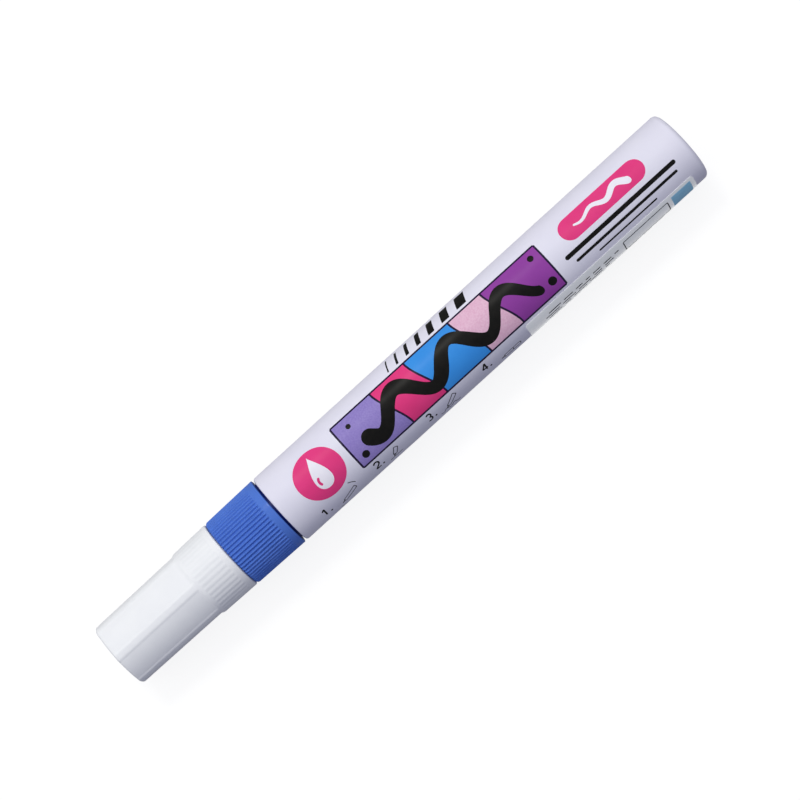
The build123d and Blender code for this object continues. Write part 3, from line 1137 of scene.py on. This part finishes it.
    def line_samples(self) -> list[FlatPatch]:
        """Straight lines from thick to thin, side by side."""
        return [stroke(level_line(start, end, arc, steps=30), half) for start, end, arc, half in self.samples]

    def numeral(self, digit: int) -> list[np.ndarray]:
        """Draw a plain numeral from arcs and straight lines.

        Args:
            digit: The numeral, from 1 to 4.

        Returns:
            Its middle lines, one unit high.
        """
        hook = np.concatenate([circle_arc(0.3, 0.7, 0.29, 165, -38), polyline((0.26, 0.26), (0.02, 0.0))])
        return {
            1: [polyline((0.06, 0.74), (0.34, 0.98)), polyline((0.34, 1.0), (0.34, 0.0))],
            2: [hook, polyline((0.02, 0.0), (0.62, 0.0))],
            3: [circle_arc(0.28, 0.75, 0.25, 150, -90), circle_arc(0.28, 0.25, 0.26, 90, -150)],
            4: [
                polyline((0.46, 1.0), (0.0, 0.3)),
                polyline((0.0, 0.3), (0.66, 0.3)),
                polyline((0.46, 1.0), (0.46, 0.0)),
            ],
        }[digit]

    def steps(self) -> list[FlatPatch]:
        """Draw the numbered steps: a numeral, a full stop and a small sketch of the marker in use.

        Returns:
            The patches.
        """
        patches: list[FlatPatch] = []
        size, foot = self.step_height, self.step_arc
        for step, x in zip(Step, self.step_x):
            for path in self.numeral(step.value[0]):
                placed = np.column_stack([x + path[:, 0] * size, foot - path[:, 1] * size])
                patches.append(stroke(placed, self.step_half, across=3, end_steps=5))
            patches.append(disc(x + size * self.stop_share, foot - self.stop_lift, self.stop_radius, steps=9))
            lines = self.sketches.lines(step, x + size * self.sketch_share, foot)
            patches += [stroke(path, self.sketch_half, across=3, end_steps=4) for path in lines]
        return patches

    def build(self, shop: Workshop) -> None:
        """Print everything on the barrel.

        Args:
            shop: The workshop that makes the pieces.
        """
        for name, (ink, patches) in self.band().items():
            high = self.line_ink if ink is Ink.LINE else self.ink
            shop.piece(name, self.films(patches, high), ink.finish(), Body.MARKER)
        roundel = disc(self.roundel_x, 0, self.roundel_radius, steps=41)
        paint_drop = drop(
            self.roundel_x, self.drop_shift, self.drop_length, self.drop_heading, self.drop_plumpness
        )
        glint_path = circle_arc(self.roundel_x, self.glint_arc, self.glint_radius, *self.glint_turns)
        glint = stroke(glint_path, self.glint_half)
        prints = {
            "print_roundel": (Ink.MAGENTA, [roundel], self.ink),
            "print_roundel_drop": (Ink.WHITE, [paint_drop], self.line_ink),
            "print_roundel_glint": (Ink.MAGENTA, [glint], self.overprint),
            "print_wave": (Ink.BLACK, self.wave(), self.overprint),
            "print_line_widths": (Ink.BLACK, self.hatch(), self.ink),
            "print_capsule": (Ink.MAGENTA, [self.capsule()], self.ink),
            "print_capsule_line": (Ink.WHITE, [self.squiggle()], self.overprint),
            "print_line_samples": (Ink.BLACK, self.line_samples(), self.ink),
            "print_steps": (Ink.BLACK, self.steps(), self.ink),
        }
        for name, (ink, patches, high) in prints.items():
            shop.piece(name, self.films(patches, high), ink.finish(), Body.MARKER)


@dataclass
class SideSticker:
    """The thin film on the barrel's shaded side, with a blue patch, an empty box and rows of fine marks."""

    start: float = 25.5
    end: float = 66.1
    first_angle: float = 45.0
    last_angle: float = 135.0
    low: float = 0.03
    high: float = 0.098
    ink: float = 0.0072
    corner: float = 0.7
    edge: float = 0.35
    rows: int = 61
    columns: int = 48
    # First and last x, then first and last angle
    patch: tuple[float, float, float, float] = (60.6, 65.2, 51.0, 84.0)
    box: tuple[float, float, float, float] = (48.8, 59.6, 54.0, 80.0)
    line_half: float = 0.1
    mark_half: float = 0.14
    mark_angles: tuple[float, ...] = (60.0, 67.0, 74.0, 88.0, 95.0, 102.0, 109.0, 116.0)
    mark_lengths: tuple[float, float] = (0.9, 3.4)
    mark_gap: float = 0.75
    marks_in_row: int = 12
    mark_seed: int = 5
    margin: float = 1.2
    end_margin: float = 2.5

    def arc(self, angle: float) -> float:
        """Arc length of an angle on the barrel."""
        return math.radians(angle) * BARREL_RADIUS

    def shell(self) -> Shell:
        """Lay the film: near its ends each row draws in as a circle does, which rounds the corners.

        Returns:
            The film, with its pale edge as its mask.
        """
        first, last = self.arc(self.first_angle), self.arc(self.last_angle)
        arc = first + (last - first) * bunched(self.rows)
        near = np.minimum(arc - first, last - arc).clip(0, self.corner)
        inset = self.corner - np.sqrt(self.corner**2 - (self.corner - near) ** 2)
        x, arcs = strip(arc, self.start + inset, self.end - inset, self.columns)
        x = x[:, :1] + (x[:, -1:] - x[:, :1]) * bunched(self.columns)
        shell = film((x, arcs), self.low, self.high)
        border = np.minimum.reduce([x - self.start, self.end - x, arcs - first, last - arcs])
        lightness = 1 - ease(0.0, self.edge, border)
        shell.painted_shade_and_edge_mask = np.concatenate([lightness.ravel(), lightness.ravel()])
        return shell

    def box_lines(self) -> list[FlatPatch]:
        """Draw the four sides of the empty box.

        Returns:
            The patches.
        """
        x0, x1, a0, a1 = self.box
        corners = np.array([(x0, self.arc(a0)), (x1, self.arc(a0)), (x1, self.arc(a1)), (x0, self.arc(a1))])
        share = np.linspace(0, 1, num=24)[:, None]
        return [
            stroke(corner + (following - corner) * share, self.line_half, across=3, end_steps=4)
            for corner, following in zip(corners, np.roll(corners, -1, axis=0))
        ]

    def marks(self) -> list[FlatPatch]:
        """Draw rows of short fine marks, of seeded random lengths, as far as the box or the film's end.

        Returns:
            The patches.
        """
        draw = np.random.default_rng(self.mark_seed)
        patches: list[FlatPatch] = []
        for angle in self.mark_angles:
            lengths = draw.uniform(*self.mark_lengths, self.marks_in_row)
            ends = np.cumsum(lengths + self.mark_gap) + self.start + self.margin
            limit = self.box[0] - self.margin if angle < self.box[3] else self.end - self.end_margin
            for start, end in zip(ends[:-1], ends[1:] - self.mark_gap):
                if end < limit:
                    path = level_line(start, end, self.arc(angle), steps=5)
                    patches.append(stroke(path, self.mark_half, across=3, end_steps=4))
        return patches

    def build(self, shop: Workshop) -> None:
        """Make the sticker in place of its CAD node, and print on it.

        Args:
            shop: The workshop that makes the pieces.
        """
        shop.piece("sticker", self.shell(), Finishes.sticker, Body.MARKER, "sticker_film", ["side_sticker"])
        x0, x1, a0, a1 = self.patch
        patch = strip(np.linspace(self.arc(a0), self.arc(a1), num=20), x0, x1)
        prints = {
            "sticker_patch": (Ink.PATCH, [patch]),
            "sticker_box": (Ink.BLACK, self.box_lines()),
            "sticker_marks": (Ink.BLACK, self.marks()),
        }
        for name, (ink, patches) in prints.items():
            shell = joined([film(flat, self.low, self.high + self.ink) for flat in patches])
            shop.piece(name, shell, ink.finish(), Body.MARKER)


@dataclass(frozen=True)
class Flutes:
    """Lengthwise flutes round a turned piece."""

    count: int
    angle: float
    depth: float
    half_width: float
    start: float
    end: float
    front_fade: float
    rear_fade: float

    def share(self, x: np.ndarray, angle: np.ndarray, radius: np.ndarray) -> np.ndarray:
        """Share of the flutes' depth at each place: cos^2 across a flute, eased out at its two ends.

        Args:
            x: Place along the marker.
            angle: Angle about the axis.
            radius: Distance from the axis.

        Returns:
            The share, 1 along the middle of a flute and 0 outside the flutes.
        """
        pitch = 360 / self.count
        offset = (angle - self.angle + pitch / 2) % pitch - pitch / 2
        across = np.clip(np.abs(np.radians(offset) * radius) / self.half_width, 0, 1)
        along = ease(self.start, self.start + self.front_fade, x)
        along = along * (1 - ease(self.end - self.rear_fade, self.end, x))
        return np.cos(across * math.pi / 2) ** 2 * along


@dataclass
class Collar:
    """The blue ring behind the cap: fine flutes that run out over its front edge, and a smooth rear rim."""

    front: float = COLLAR_FRONT
    rear: float = COLLAR_REAR
    front_radius: float = 7.225
    rear_radius: float = 7.395
    bore: float = 5.6
    front_rounding: float = 0.6
    rear_rounding: float = 0.15
    flutes: Flutes = Flutes(
        count=60, angle=4.6, depth=0.34, half_width=0.34,
        start=-41.75, end=-31.4, front_fade=0.2, rear_fade=0.7,
    )
    columns: int = 960

    def shell(self) -> Shell:
        """Turn the ring, with its flutes sunk into the outside.

        Returns:
            The ring, with its flutes as the mask for painted shade in their grooves.
        """
        outline = rounded_outline(
            [
                (self.front, self.bore, 0),
                (self.front, self.front_radius, self.front_rounding),
                (self.rear, self.rear_radius, self.rear_rounding),
                (self.rear, self.bore, 0),
            ],
            ring=True,
        )
        wall = nearest_row(outline, self.front + self.front_rounding, self.front_radius)
        fade_start, fade_end = self.flutes.end - self.flutes.rear_fade, self.flutes.end
        stations = [
            np.linspace(outline[wall, 0], fade_start, num=12)[1:-1],
            np.linspace(fade_start, fade_end, num=12),
            np.linspace(fade_end, outline[wall + 1, 0], num=5)[1:-1],
        ]
        outline = with_stations(outline, np.concatenate(stations), wall)
        x, radius = outline[:, :1], outline[:, 1:]
        outside = radius > (self.front_radius + self.bore) / 2
        share = self.flutes.share(x, column_angles(self.columns), radius) * outside
        shell = turned(outline, self.columns, share * self.flutes.depth, ring=True)
        # The flutes' depth also lays painted shade in their grooves
        shell.painted_shade_and_edge_mask = share
        return shell

    def build(self, shop: Workshop) -> None:
        """Make the collar in place of its CAD node."""
        shop.piece("collar_ring", self.shell(), Finishes.collar, Body.MARKER, "collar_plastic", ["collar"])


@dataclass
class Cap:
    """The pull-off cap: six ribs with bowed panels sunk between them, a fluted skirt and a smooth lip."""

    end: float = -69.2
    step: float = -50.3
    mouth: float = -41.75
    end_radius: float = 6.875
    step_radius: float = 7.035
    mouth_radius: float = 7.19
    socket: float = 6.03
    bore: float = 5.225
    socket_end: float = -48.45
    bore_end: float = -67.8
    end_rounding: float = 0.5
    mouth_rounding: float = 0.3
    bore_rounding: float = 0.6
    ribs: int = 6
    rib_angle: float = 0.8
    rib_width: float = 1.45
    rib_edge: float = 0.36
    panel_depth: float = 0.28
    panel_bow: float = 9.5
    panel_ramp: float = 0.9
    flutes: Flutes = Flutes(
        count=42, angle=rib_angle, depth=0.04, half_width=0.5,
        start=-49.15, end=-42.9, front_fade=0.35, rear_fade=0.35,
    )
    # The gate is a small dished mark, where the plastic was let into the mould
    gate_radius: float = 0.9
    gate_depth: float = 0.12
    gate_slope: float = 0.25
    gate_floor_rounding: float = 0.08
    gate_rim_rounding: float = 0.1
    columns: int = 840
    liner_end: float = -67.7
    liner_floor: float = -66.8
    liner_radius: float = 3.8975
    liner_bore: float = 3.0975
    liner_rounding: float = 0.4
    liner_mouth_rounding: float = 0.2
    flange_rear: float = -47.65
    flange_radius: float = 5.95
    flange_rounding: float = 0.15
    liner_columns: int = 120

    def cone(self, x: np.ndarray) -> np.ndarray:
        """Radius of the cap's outside without its panels and flutes: two straight cones."""
        radii = [self.end_radius, self.step_radius, self.mouth_radius]
        return np.interp(x, [self.end, self.step, self.mouth], radii)

    def panels(self, x: np.ndarray, angle: np.ndarray) -> np.ndarray:
        """Depth of the panels below the cone.

        A panel's floor is a circle of radius b about a centre c = m - b from the axis, where m is the floor's
        radius at its middle: c cos t + sqrt(b^2 - c^2 sin^2 t) from the axis at the turn t from the middle.
        The ribs' sides rise from it over a soft edge, and the floor rises to the skirt along a ramp.

        Args:
            x: Place along the marker.
            angle: Angle about the axis.

        Returns:
            The depth at each place.
        """
        pitch = 360 / self.ribs
        turn = np.radians((angle - self.rib_angle) % pitch - pitch / 2)
        cone = self.cone(x)
        centre = cone - self.panel_depth - self.panel_bow
        floor = centre * np.cos(turn) + np.sqrt(self.panel_bow**2 - (centre * np.sin(turn)) ** 2)
        from_rib = cone * np.sin(math.radians(pitch / 2) - np.abs(turn))
        half = self.rib_width / 2
        side = ease(half - self.rib_edge, half + self.rib_edge, from_rib)
        return (cone - floor) * side * (1 - ease(self.step, self.step + self.panel_ramp, x))

    def outside(self) -> np.ndarray:
        """Lay out the outside, from the middle of the end, over its edge and along the wall to the mouth.

        Returns:
            The x and radius of each row.
        """
        outline = rounded_outline(
            [
                (self.end + self.gate_depth, 0, 0),
                (self.end + self.gate_depth, self.gate_radius, self.gate_floor_rounding),
                (self.end, self.gate_radius + self.gate_slope, self.gate_rim_rounding),
                (self.end, self.end_radius, self.end_rounding),
                (self.step, self.step_radius, 0),
                (self.mouth, self.mouth_radius, self.mouth_rounding),
                (self.mouth, self.socket, 0),
            ],
            steps=9,
        )
        wall = nearest_row(outline, self.step, self.step_radius)
        flutes = self.flutes
        full_start, full_end = flutes.start + flutes.front_fade, flutes.end - flutes.rear_fade
        skirt = [
            np.linspace(self.step, self.step + self.panel_ramp, num=9)[1:],
            np.linspace(flutes.start, full_start, num=7),
            np.linspace(full_start, full_end, num=7)[1:-1],
            np.linspace(full_end, flutes.end, num=7),
            np.linspace(flutes.end, self.mouth - self.mouth_rounding, num=4)[1:-1],
        ]
        outline = with_stations(outline, np.concatenate(skirt), wall)
        panels = np.linspace(outline[wall - 1, 0], self.step, num=14)[1:-1]
        return with_stations(outline, panels, wall - 1)

    def shell(self) -> Shell:
        """Turn the cap's wall: its outside with panels and flutes, then the socket, the step and the bore.

        Returns:
            The wall, with its flutes as its relief.
        """
        outside = self.outside()
        inside = rounded_outline(
            [
                (self.mouth, self.socket, 0),
                (self.socket_end, self.socket, 0),
                (self.socket_end, self.bore, 0),
                (self.bore_end, self.bore, self.bore_rounding),
                (self.bore_end, 0, 0),
            ]
        )[1:]
        angle = column_angles(self.columns)
        x, radius = outside[:, :1], outside[:, 1:]
        cone = self.cone(x)
        groove = self.flutes.share(x, angle, cone)
        sink = (self.panels(x, angle) + groove * self.flutes.depth) * np.clip(radius / cone, 0, 1)
        none = np.zeros((len(inside), self.columns))
        shell = turned(np.concatenate([outside, inside]), self.columns, np.concatenate([sink, none]))
        # The flutes' depth also lays painted shade in their grooves
        shell.painted_shade_and_edge_mask = with_tips(np.concatenate([groove, none])[1:-1])
        return shell

    def liner(self) -> Shell:
        """Turn the inner cap: a cup with a flange on the socket's step.

        Returns:
            The liner.
        """
        outline = rounded_outline(
            [
                (self.liner_end, 0, 0),
                (self.liner_end, self.liner_radius, self.liner_rounding),
                (self.socket_end, self.liner_radius, 0),
                (self.socket_end, self.flange_radius, 0),
                (self.flange_rear, self.flange_radius, self.flange_rounding),
                (self.flange_rear, self.liner_bore, self.liner_mouth_rounding),
                (self.liner_floor, self.liner_bore, self.liner_rounding),
                (self.liner_floor, 0, 0),
            ]
        )
        return turned(outline, self.liner_columns)

    def build(self, shop: Workshop) -> None:
        """Make the cap and its liner in place of their CAD nodes."""
        shop.piece("cap_outer", self.shell(), Finishes.cap, Body.CAP, "cap_plastic", ["cap_shell"])
        shop.piece("cap_inner", self.liner(), Finishes.liner, Body.CAP, "liner_plastic", ["cap_liner"])


@dataclass
class WritingEnd:
    """What the cap covers: the moulded holder and the fibre nib."""

    snout_tip: float = -55.65
    snout_rear: float = -47.05
    neck_front: float = -44.05
    bead_front: float = -42.85
    plug_front: float = -27.6
    plug_rear: float = -25.6
    housing_rear: float = -20.8
    guide_bore: float = 2.2502
    snout_tip_radius: float = 2.7502
    snout_radius: float = 2.9975
    neck_radius: float = 5.5
    bead_radius: float = 5.95
    seat_radius: float = 5.55
    spacer_radius: float = 6.3
    plug_radius: float = 6.8
    housing_radius: float = 5.0
    housing_bore: float = 4.1
    snout_tip_rounding: float = 0.3
    neck_rounding: float = 0.5
    bead_foot_rounding: float = 0.1
    bead_rounding: float = 0.4
    plug_rounding: float = 0.3
    housing_rounding: float = 0.2
    nib_tip: float = -61.05
    nib_shoulder: float = -57.05
    nib_rear: float = -30.5
    nib_radius: float = 2.2
    nib_tip_radius: float = 1.1
    nib_tip_rounding: float = 0.88
    nib_shoulder_rounding: float = 1.2
    nib_rear_rounding: float = 0.3
    fibre_depth: float = 0.035
    fibre_count: int = 64
    fibre_seed: int = 11
    columns: int = 192

    def holder(self) -> Shell:
        """Turn the holder from its section, from the snout over the collar's seat to the housing and back.

        The spacer between the collar and the barrel gets painted shade, with the ends of the seats beside it.

        Returns:
            The holder, with the shade as its relief.
        """
        outline = rounded_outline(
            [
                (self.snout_tip, self.guide_bore, 0),
                (self.snout_tip, self.snout_tip_radius, self.snout_tip_rounding),
                (self.snout_rear, self.snout_radius, self.neck_rounding),
                (self.neck_front, self.neck_radius, self.neck_rounding),
                (self.bead_front, self.neck_radius, self.bead_foot_rounding),
                (self.bead_front, self.bead_radius, self.bead_rounding),
                (COLLAR_FRONT, self.bead_radius, 0),
                (COLLAR_FRONT, self.seat_radius, 0),
                (COLLAR_REAR, self.seat_radius, 0),
                (COLLAR_REAR, self.spacer_radius, 0),
                (BARREL_FRONT, self.spacer_radius, 0),
                (BARREL_FRONT, self.seat_radius, 0),
                (self.plug_front, self.seat_radius, 0),
                (self.plug_front, self.plug_radius, self.plug_rounding),
                (self.plug_rear, self.plug_radius, self.plug_rounding),
                (self.plug_rear, self.housing_radius, 0),
                (self.housing_rear, self.housing_radius, self.housing_rounding),
                (self.housing_rear, self.housing_bore, 0),
                (self.plug_front, self.housing_bore, 0),
                (self.plug_front, self.guide_bore, 0),
            ],
            ring=True,
        )
        shell = turned(outline, self.columns, ring=True)
        # Painted shade in the gap between the collar and the barrel
        shaded = (outline[:, :1] >= COLLAR_REAR) & (outline[:, :1] <= BARREL_FRONT)
        shell.painted_shade_and_edge_mask = np.repeat(shaded * COVERED, self.columns, axis=1)
        return shell

    def nib(self) -> Shell:
        """Turn the nib, a rod with a bullet tip, and draw it into fibres by seeded random depths round it.

        Returns:
            The nib.
        """
        outline = rounded_outline(
            [
                (self.nib_tip, 0, 0),
                (self.nib_tip, self.nib_tip_radius, self.nib_tip_rounding),
                (self.nib_shoulder, self.nib_radius, self.nib_shoulder_rounding),
                (self.nib_rear, self.nib_radius, self.nib_rear_rounding),
                (self.nib_rear, 0, 0),
            ]
        )
        draw = np.random.default_rng(self.fibre_seed)
        depths = draw.uniform(0, self.fibre_depth, self.fibre_count)
        place = np.arange(self.columns) * self.fibre_count / self.columns
        round_it = np.interp(place, np.arange(self.fibre_count + 1), np.append(depths, depths[0]))
        sink = round_it[None, :] * outline[:, 1:] / self.nib_radius
        return turned(outline, self.columns, sink)

    def build(self, shop: Workshop) -> None:
        """Make the holder and the nib in place of their CAD nodes."""
        shop.piece("holder", self.holder(), Finishes.holder, Body.MARKER, "holder_plastic", ["nib_holder"])
        shop.piece("fibre_nib", self.nib(), Finishes.nib, Body.NIB, "nib_fibre", ["nib"])


@dataclass
class Valve:
    """The hidden valve: a spring that is wound anew, and CAD nodes that keep their shapes."""

    start: float = -24.55
    end: float = -15.85
    fixed_end: float = -15.6
    coil_radius: float = 1.75
    wire_radius: float = 0.2
    turns: int = 8
    steps_per_turn: int = 36
    sides: int = 12
    travel: float = 2.0
    plain: dict[str, Finish] = field(
        default_factory=lambda: {
            "barrel_gasket": Finishes.rubber,
            "valve_seat": Finishes.rubber,
            "valve_rod": Finishes.valve,
            "valve_cage": Finishes.valve,
            "mixing_ball": Finishes.ball,
        }
    )

    def spring(self) -> Shell:
        """Wind the coil: a circle carried along a helix.

        After a share t of its turns the middle line is at the angle 360 t turns, the coil's radius from the
        axis, and a share t of the way from start to end. The circle lies across the line's direction, spanned
        by the radial direction and the one square to both. A single point closes each end.

        Returns:
            The coil.
        """
        share = np.linspace(0, 1, self.turns * self.steps_per_turn + 1)[:, None]
        angle = 2 * math.pi * self.turns * share
        zero = np.zeros_like(angle)
        radial = np.concatenate([zero, np.sin(angle), np.cos(angle)], axis=1)
        along = self.start + (self.end - self.start) * share
        middle = np.concatenate([along, zero, zero + AXIS_HEIGHT], axis=1) + self.coil_radius * radial
        heading = np.gradient(middle, axis=0)
        heading /= np.linalg.norm(heading, axis=1, keepdims=True)
        square = np.cross(heading, radial)
        turn = np.linspace(0, 2 * math.pi, self.sides, endpoint=False)[None, :, None]
        circle = np.cos(turn) * radial[:, None] + np.sin(turn) * square[:, None]
        tube = middle[:, None] + self.wire_radius * circle
        number = np.arange(tube.shape[0] * self.sides).reshape(-1, self.sides)
        points = np.concatenate([tube.reshape(-1, 3), middle[:1], middle[-1:]])
        return Shell(points, tube_faces(number)).outward()

    def build(self, shop: Workshop) -> None:
        """Make the spring in place of its CAD node, and dress the nodes that stay.

        Args:
            shop: The workshop that makes the pieces.
        """
        spring = shop.piece(
            "coil_spring", self.spring(), Finishes.spring, Body.MARKER, "spring_steel", ["valve_spring"]
        )
        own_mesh(spring)
        for node, finish in self.plain.items():
            shop.dress(node, finish)


@dataclass
class Studio:
    """The floor, the light and the camera.

    The floor's size and the lamps' sizes and places are in metres, because they are large.
    """

    image_turn: float = 42.28
    camera_height: float = 500.0
    lens: float = 123.5
    sensor: float = 36.0
    # The x and y that the camera stands over
    aim: tuple[float, float] = (-0.081, 0.0735)
    floor_size: float = 3.0
    floor_drop: float = 0.01
    floor_colour: Colour = (0.24, 0.24, 0.245, 1.0)
    floor_seen: Colour = (0.2, 0.2, 0.2, 1.0)
    floor_glow: float = 0.86
    sky_colour: Colour = (0.91, 0.95, 1.26, 1.0)
    sky_strength: float = 0.28
    key_angle: float = -34.0
    key_distance: float = 1.0
    key_shift: float = -0.15
    key_size: tuple[float, float] = (2.4, 1.56)
    key_colour: Triple = (1.0, 0.985, 0.92)
    key_power: float = 10.4
    spark_size: float = 0.16
    spark_power: float = 2.7
    spark_shift: float = 0.0

    def seen(self, sheet: NodeSheet) -> Socket:
        """Tell the rays that show a thing from those that only light it.

        Args:
            sheet: The sheet that asks.

        Returns:
            1 for a ray from the camera, or one that is mirrored or let through, else 0.
        """
        path = sheet.add("ShaderNodeLightPath").outputs
        direct = sheet.math("MAXIMUM", path["Is Camera Ray"], path["Is Glossy Ray"])
        return sheet.math("MAXIMUM", direct, path["Is Transmission Ray"])

    def sky(self) -> None:
        """A soft sky that lights the marker, white where it is seen."""
        world = bpy.data.worlds.new("studio_sky")
        bpy.context.scene.world = world
        world.use_nodes = True
        sheet = NodeSheet(world.node_tree)
        soft = sheet.add("ShaderNodeBackground", {"Color": self.sky_colour, "Strength": self.sky_strength})
        white = sheet.add("ShaderNodeBackground", {"Color": WHITE, "Strength": 1.0})
        given = {0: self.seen(sheet), 1: soft.outputs[0], 2: white.outputs[0]}
        both = sheet.add("ShaderNodeMixShader", given)
        sheet.add("ShaderNodeOutputWorld", {"Surface": both.outputs[0]})

    def floor(self) -> None:
        """A pale floor: white where it is seen, apart from the marker's shadow."""
        half, low = self.floor_size / 2, -self.floor_drop * MM
        mesh = bpy.data.meshes.new("floor")
        corners = [(-half, -half, low), (half, -half, low), (half, half, low), (-half, half, low)]
        mesh.from_pydata(corners, [], [(0, 1, 2, 3)])
        material = bpy.data.materials.new("pale_floor")
        material.use_nodes = True
        sheet = NodeSheet(material.node_tree)
        plain = sheet.add("ShaderNodeBsdfDiffuse", {"Color": self.floor_colour})
        shaded = sheet.add("ShaderNodeBsdfDiffuse", {"Color": self.floor_seen})
        glow = sheet.add("ShaderNodeEmission", {"Color": WHITE, "Strength": self.floor_glow})
        white = sheet.add("ShaderNodeAddShader", {0: shaded.outputs[0], 1: glow.outputs[0]})
        given = {0: self.seen(sheet), 1: plain.outputs[0], 2: white.outputs[0]}
        both = sheet.add("ShaderNodeMixShader", given)
        sheet.add("ShaderNodeOutputMaterial", {"Surface": both.outputs[0]})
        mesh.materials.append(material)
        floor = bpy.data.objects.new("floor", mesh)
        bpy.context.scene.collection.objects.link(floor)

    def lamps(self) -> None:
        """A large soft lamp on the lit side, moved a little to the cap, and a small one over the middle."""
        angle = math.radians(self.key_angle)
        across, up = -self.key_distance * math.sin(angle), self.key_distance * math.cos(angle)
        key = ("key", self.key_size, self.key_power, self.key_shift)
        spark = ("spark", (self.spark_size, self.spark_size), self.spark_power, self.spark_shift)
        for name, size, power, shift in (key, spark):
            data = bpy.data.lights.new(name, "AREA")
            data.shape = "RECTANGLE"
            data.size, data.size_y = size
            data.energy, data.color = power, self.key_colour
            lamp = bpy.data.objects.new(name, data)
            lamp.location = (shift, across, up)
            lamp.rotation_euler = (angle, math.atan2(shift, up), 0)
            bpy.context.scene.collection.objects.link(lamp)

    def camera(self) -> None:
        """A camera straight above the marker, turned so that the rear end points up to the right."""
        data = bpy.data.cameras.new("camera")
        data.lens, data.sensor_width = self.lens, self.sensor
        camera = bpy.data.objects.new("camera", data)
        camera.location = (self.aim[0] * MM, self.aim[1] * MM, (AXIS_HEIGHT + self.camera_height) * MM)
        camera.rotation_euler = (0, 0, -math.radians(self.image_turn))
        bpy.context.scene.collection.objects.link(camera)
        bpy.context.scene.camera = camera

    def build(self) -> None:
        """Set the stage."""
        bpy.context.scene.view_settings.view_transform = "Standard"
        self.sky()
        self.floor()
        self.lamps()
        self.camera()


def main() -> None:
    """Build the stage and every piece of the marker."""
    logging.basicConfig(level=logging.INFO, format="%(name)s %(message)s")
    Studio().build()
    shop = Workshop(Finishes())
    for assembly in (Barrel(), BarrelPrint(), SideSticker(), Collar(), Cap(), WritingEnd(), Valve()):
        assembly.build(shop)


if __name__ == "__main__":
    main()
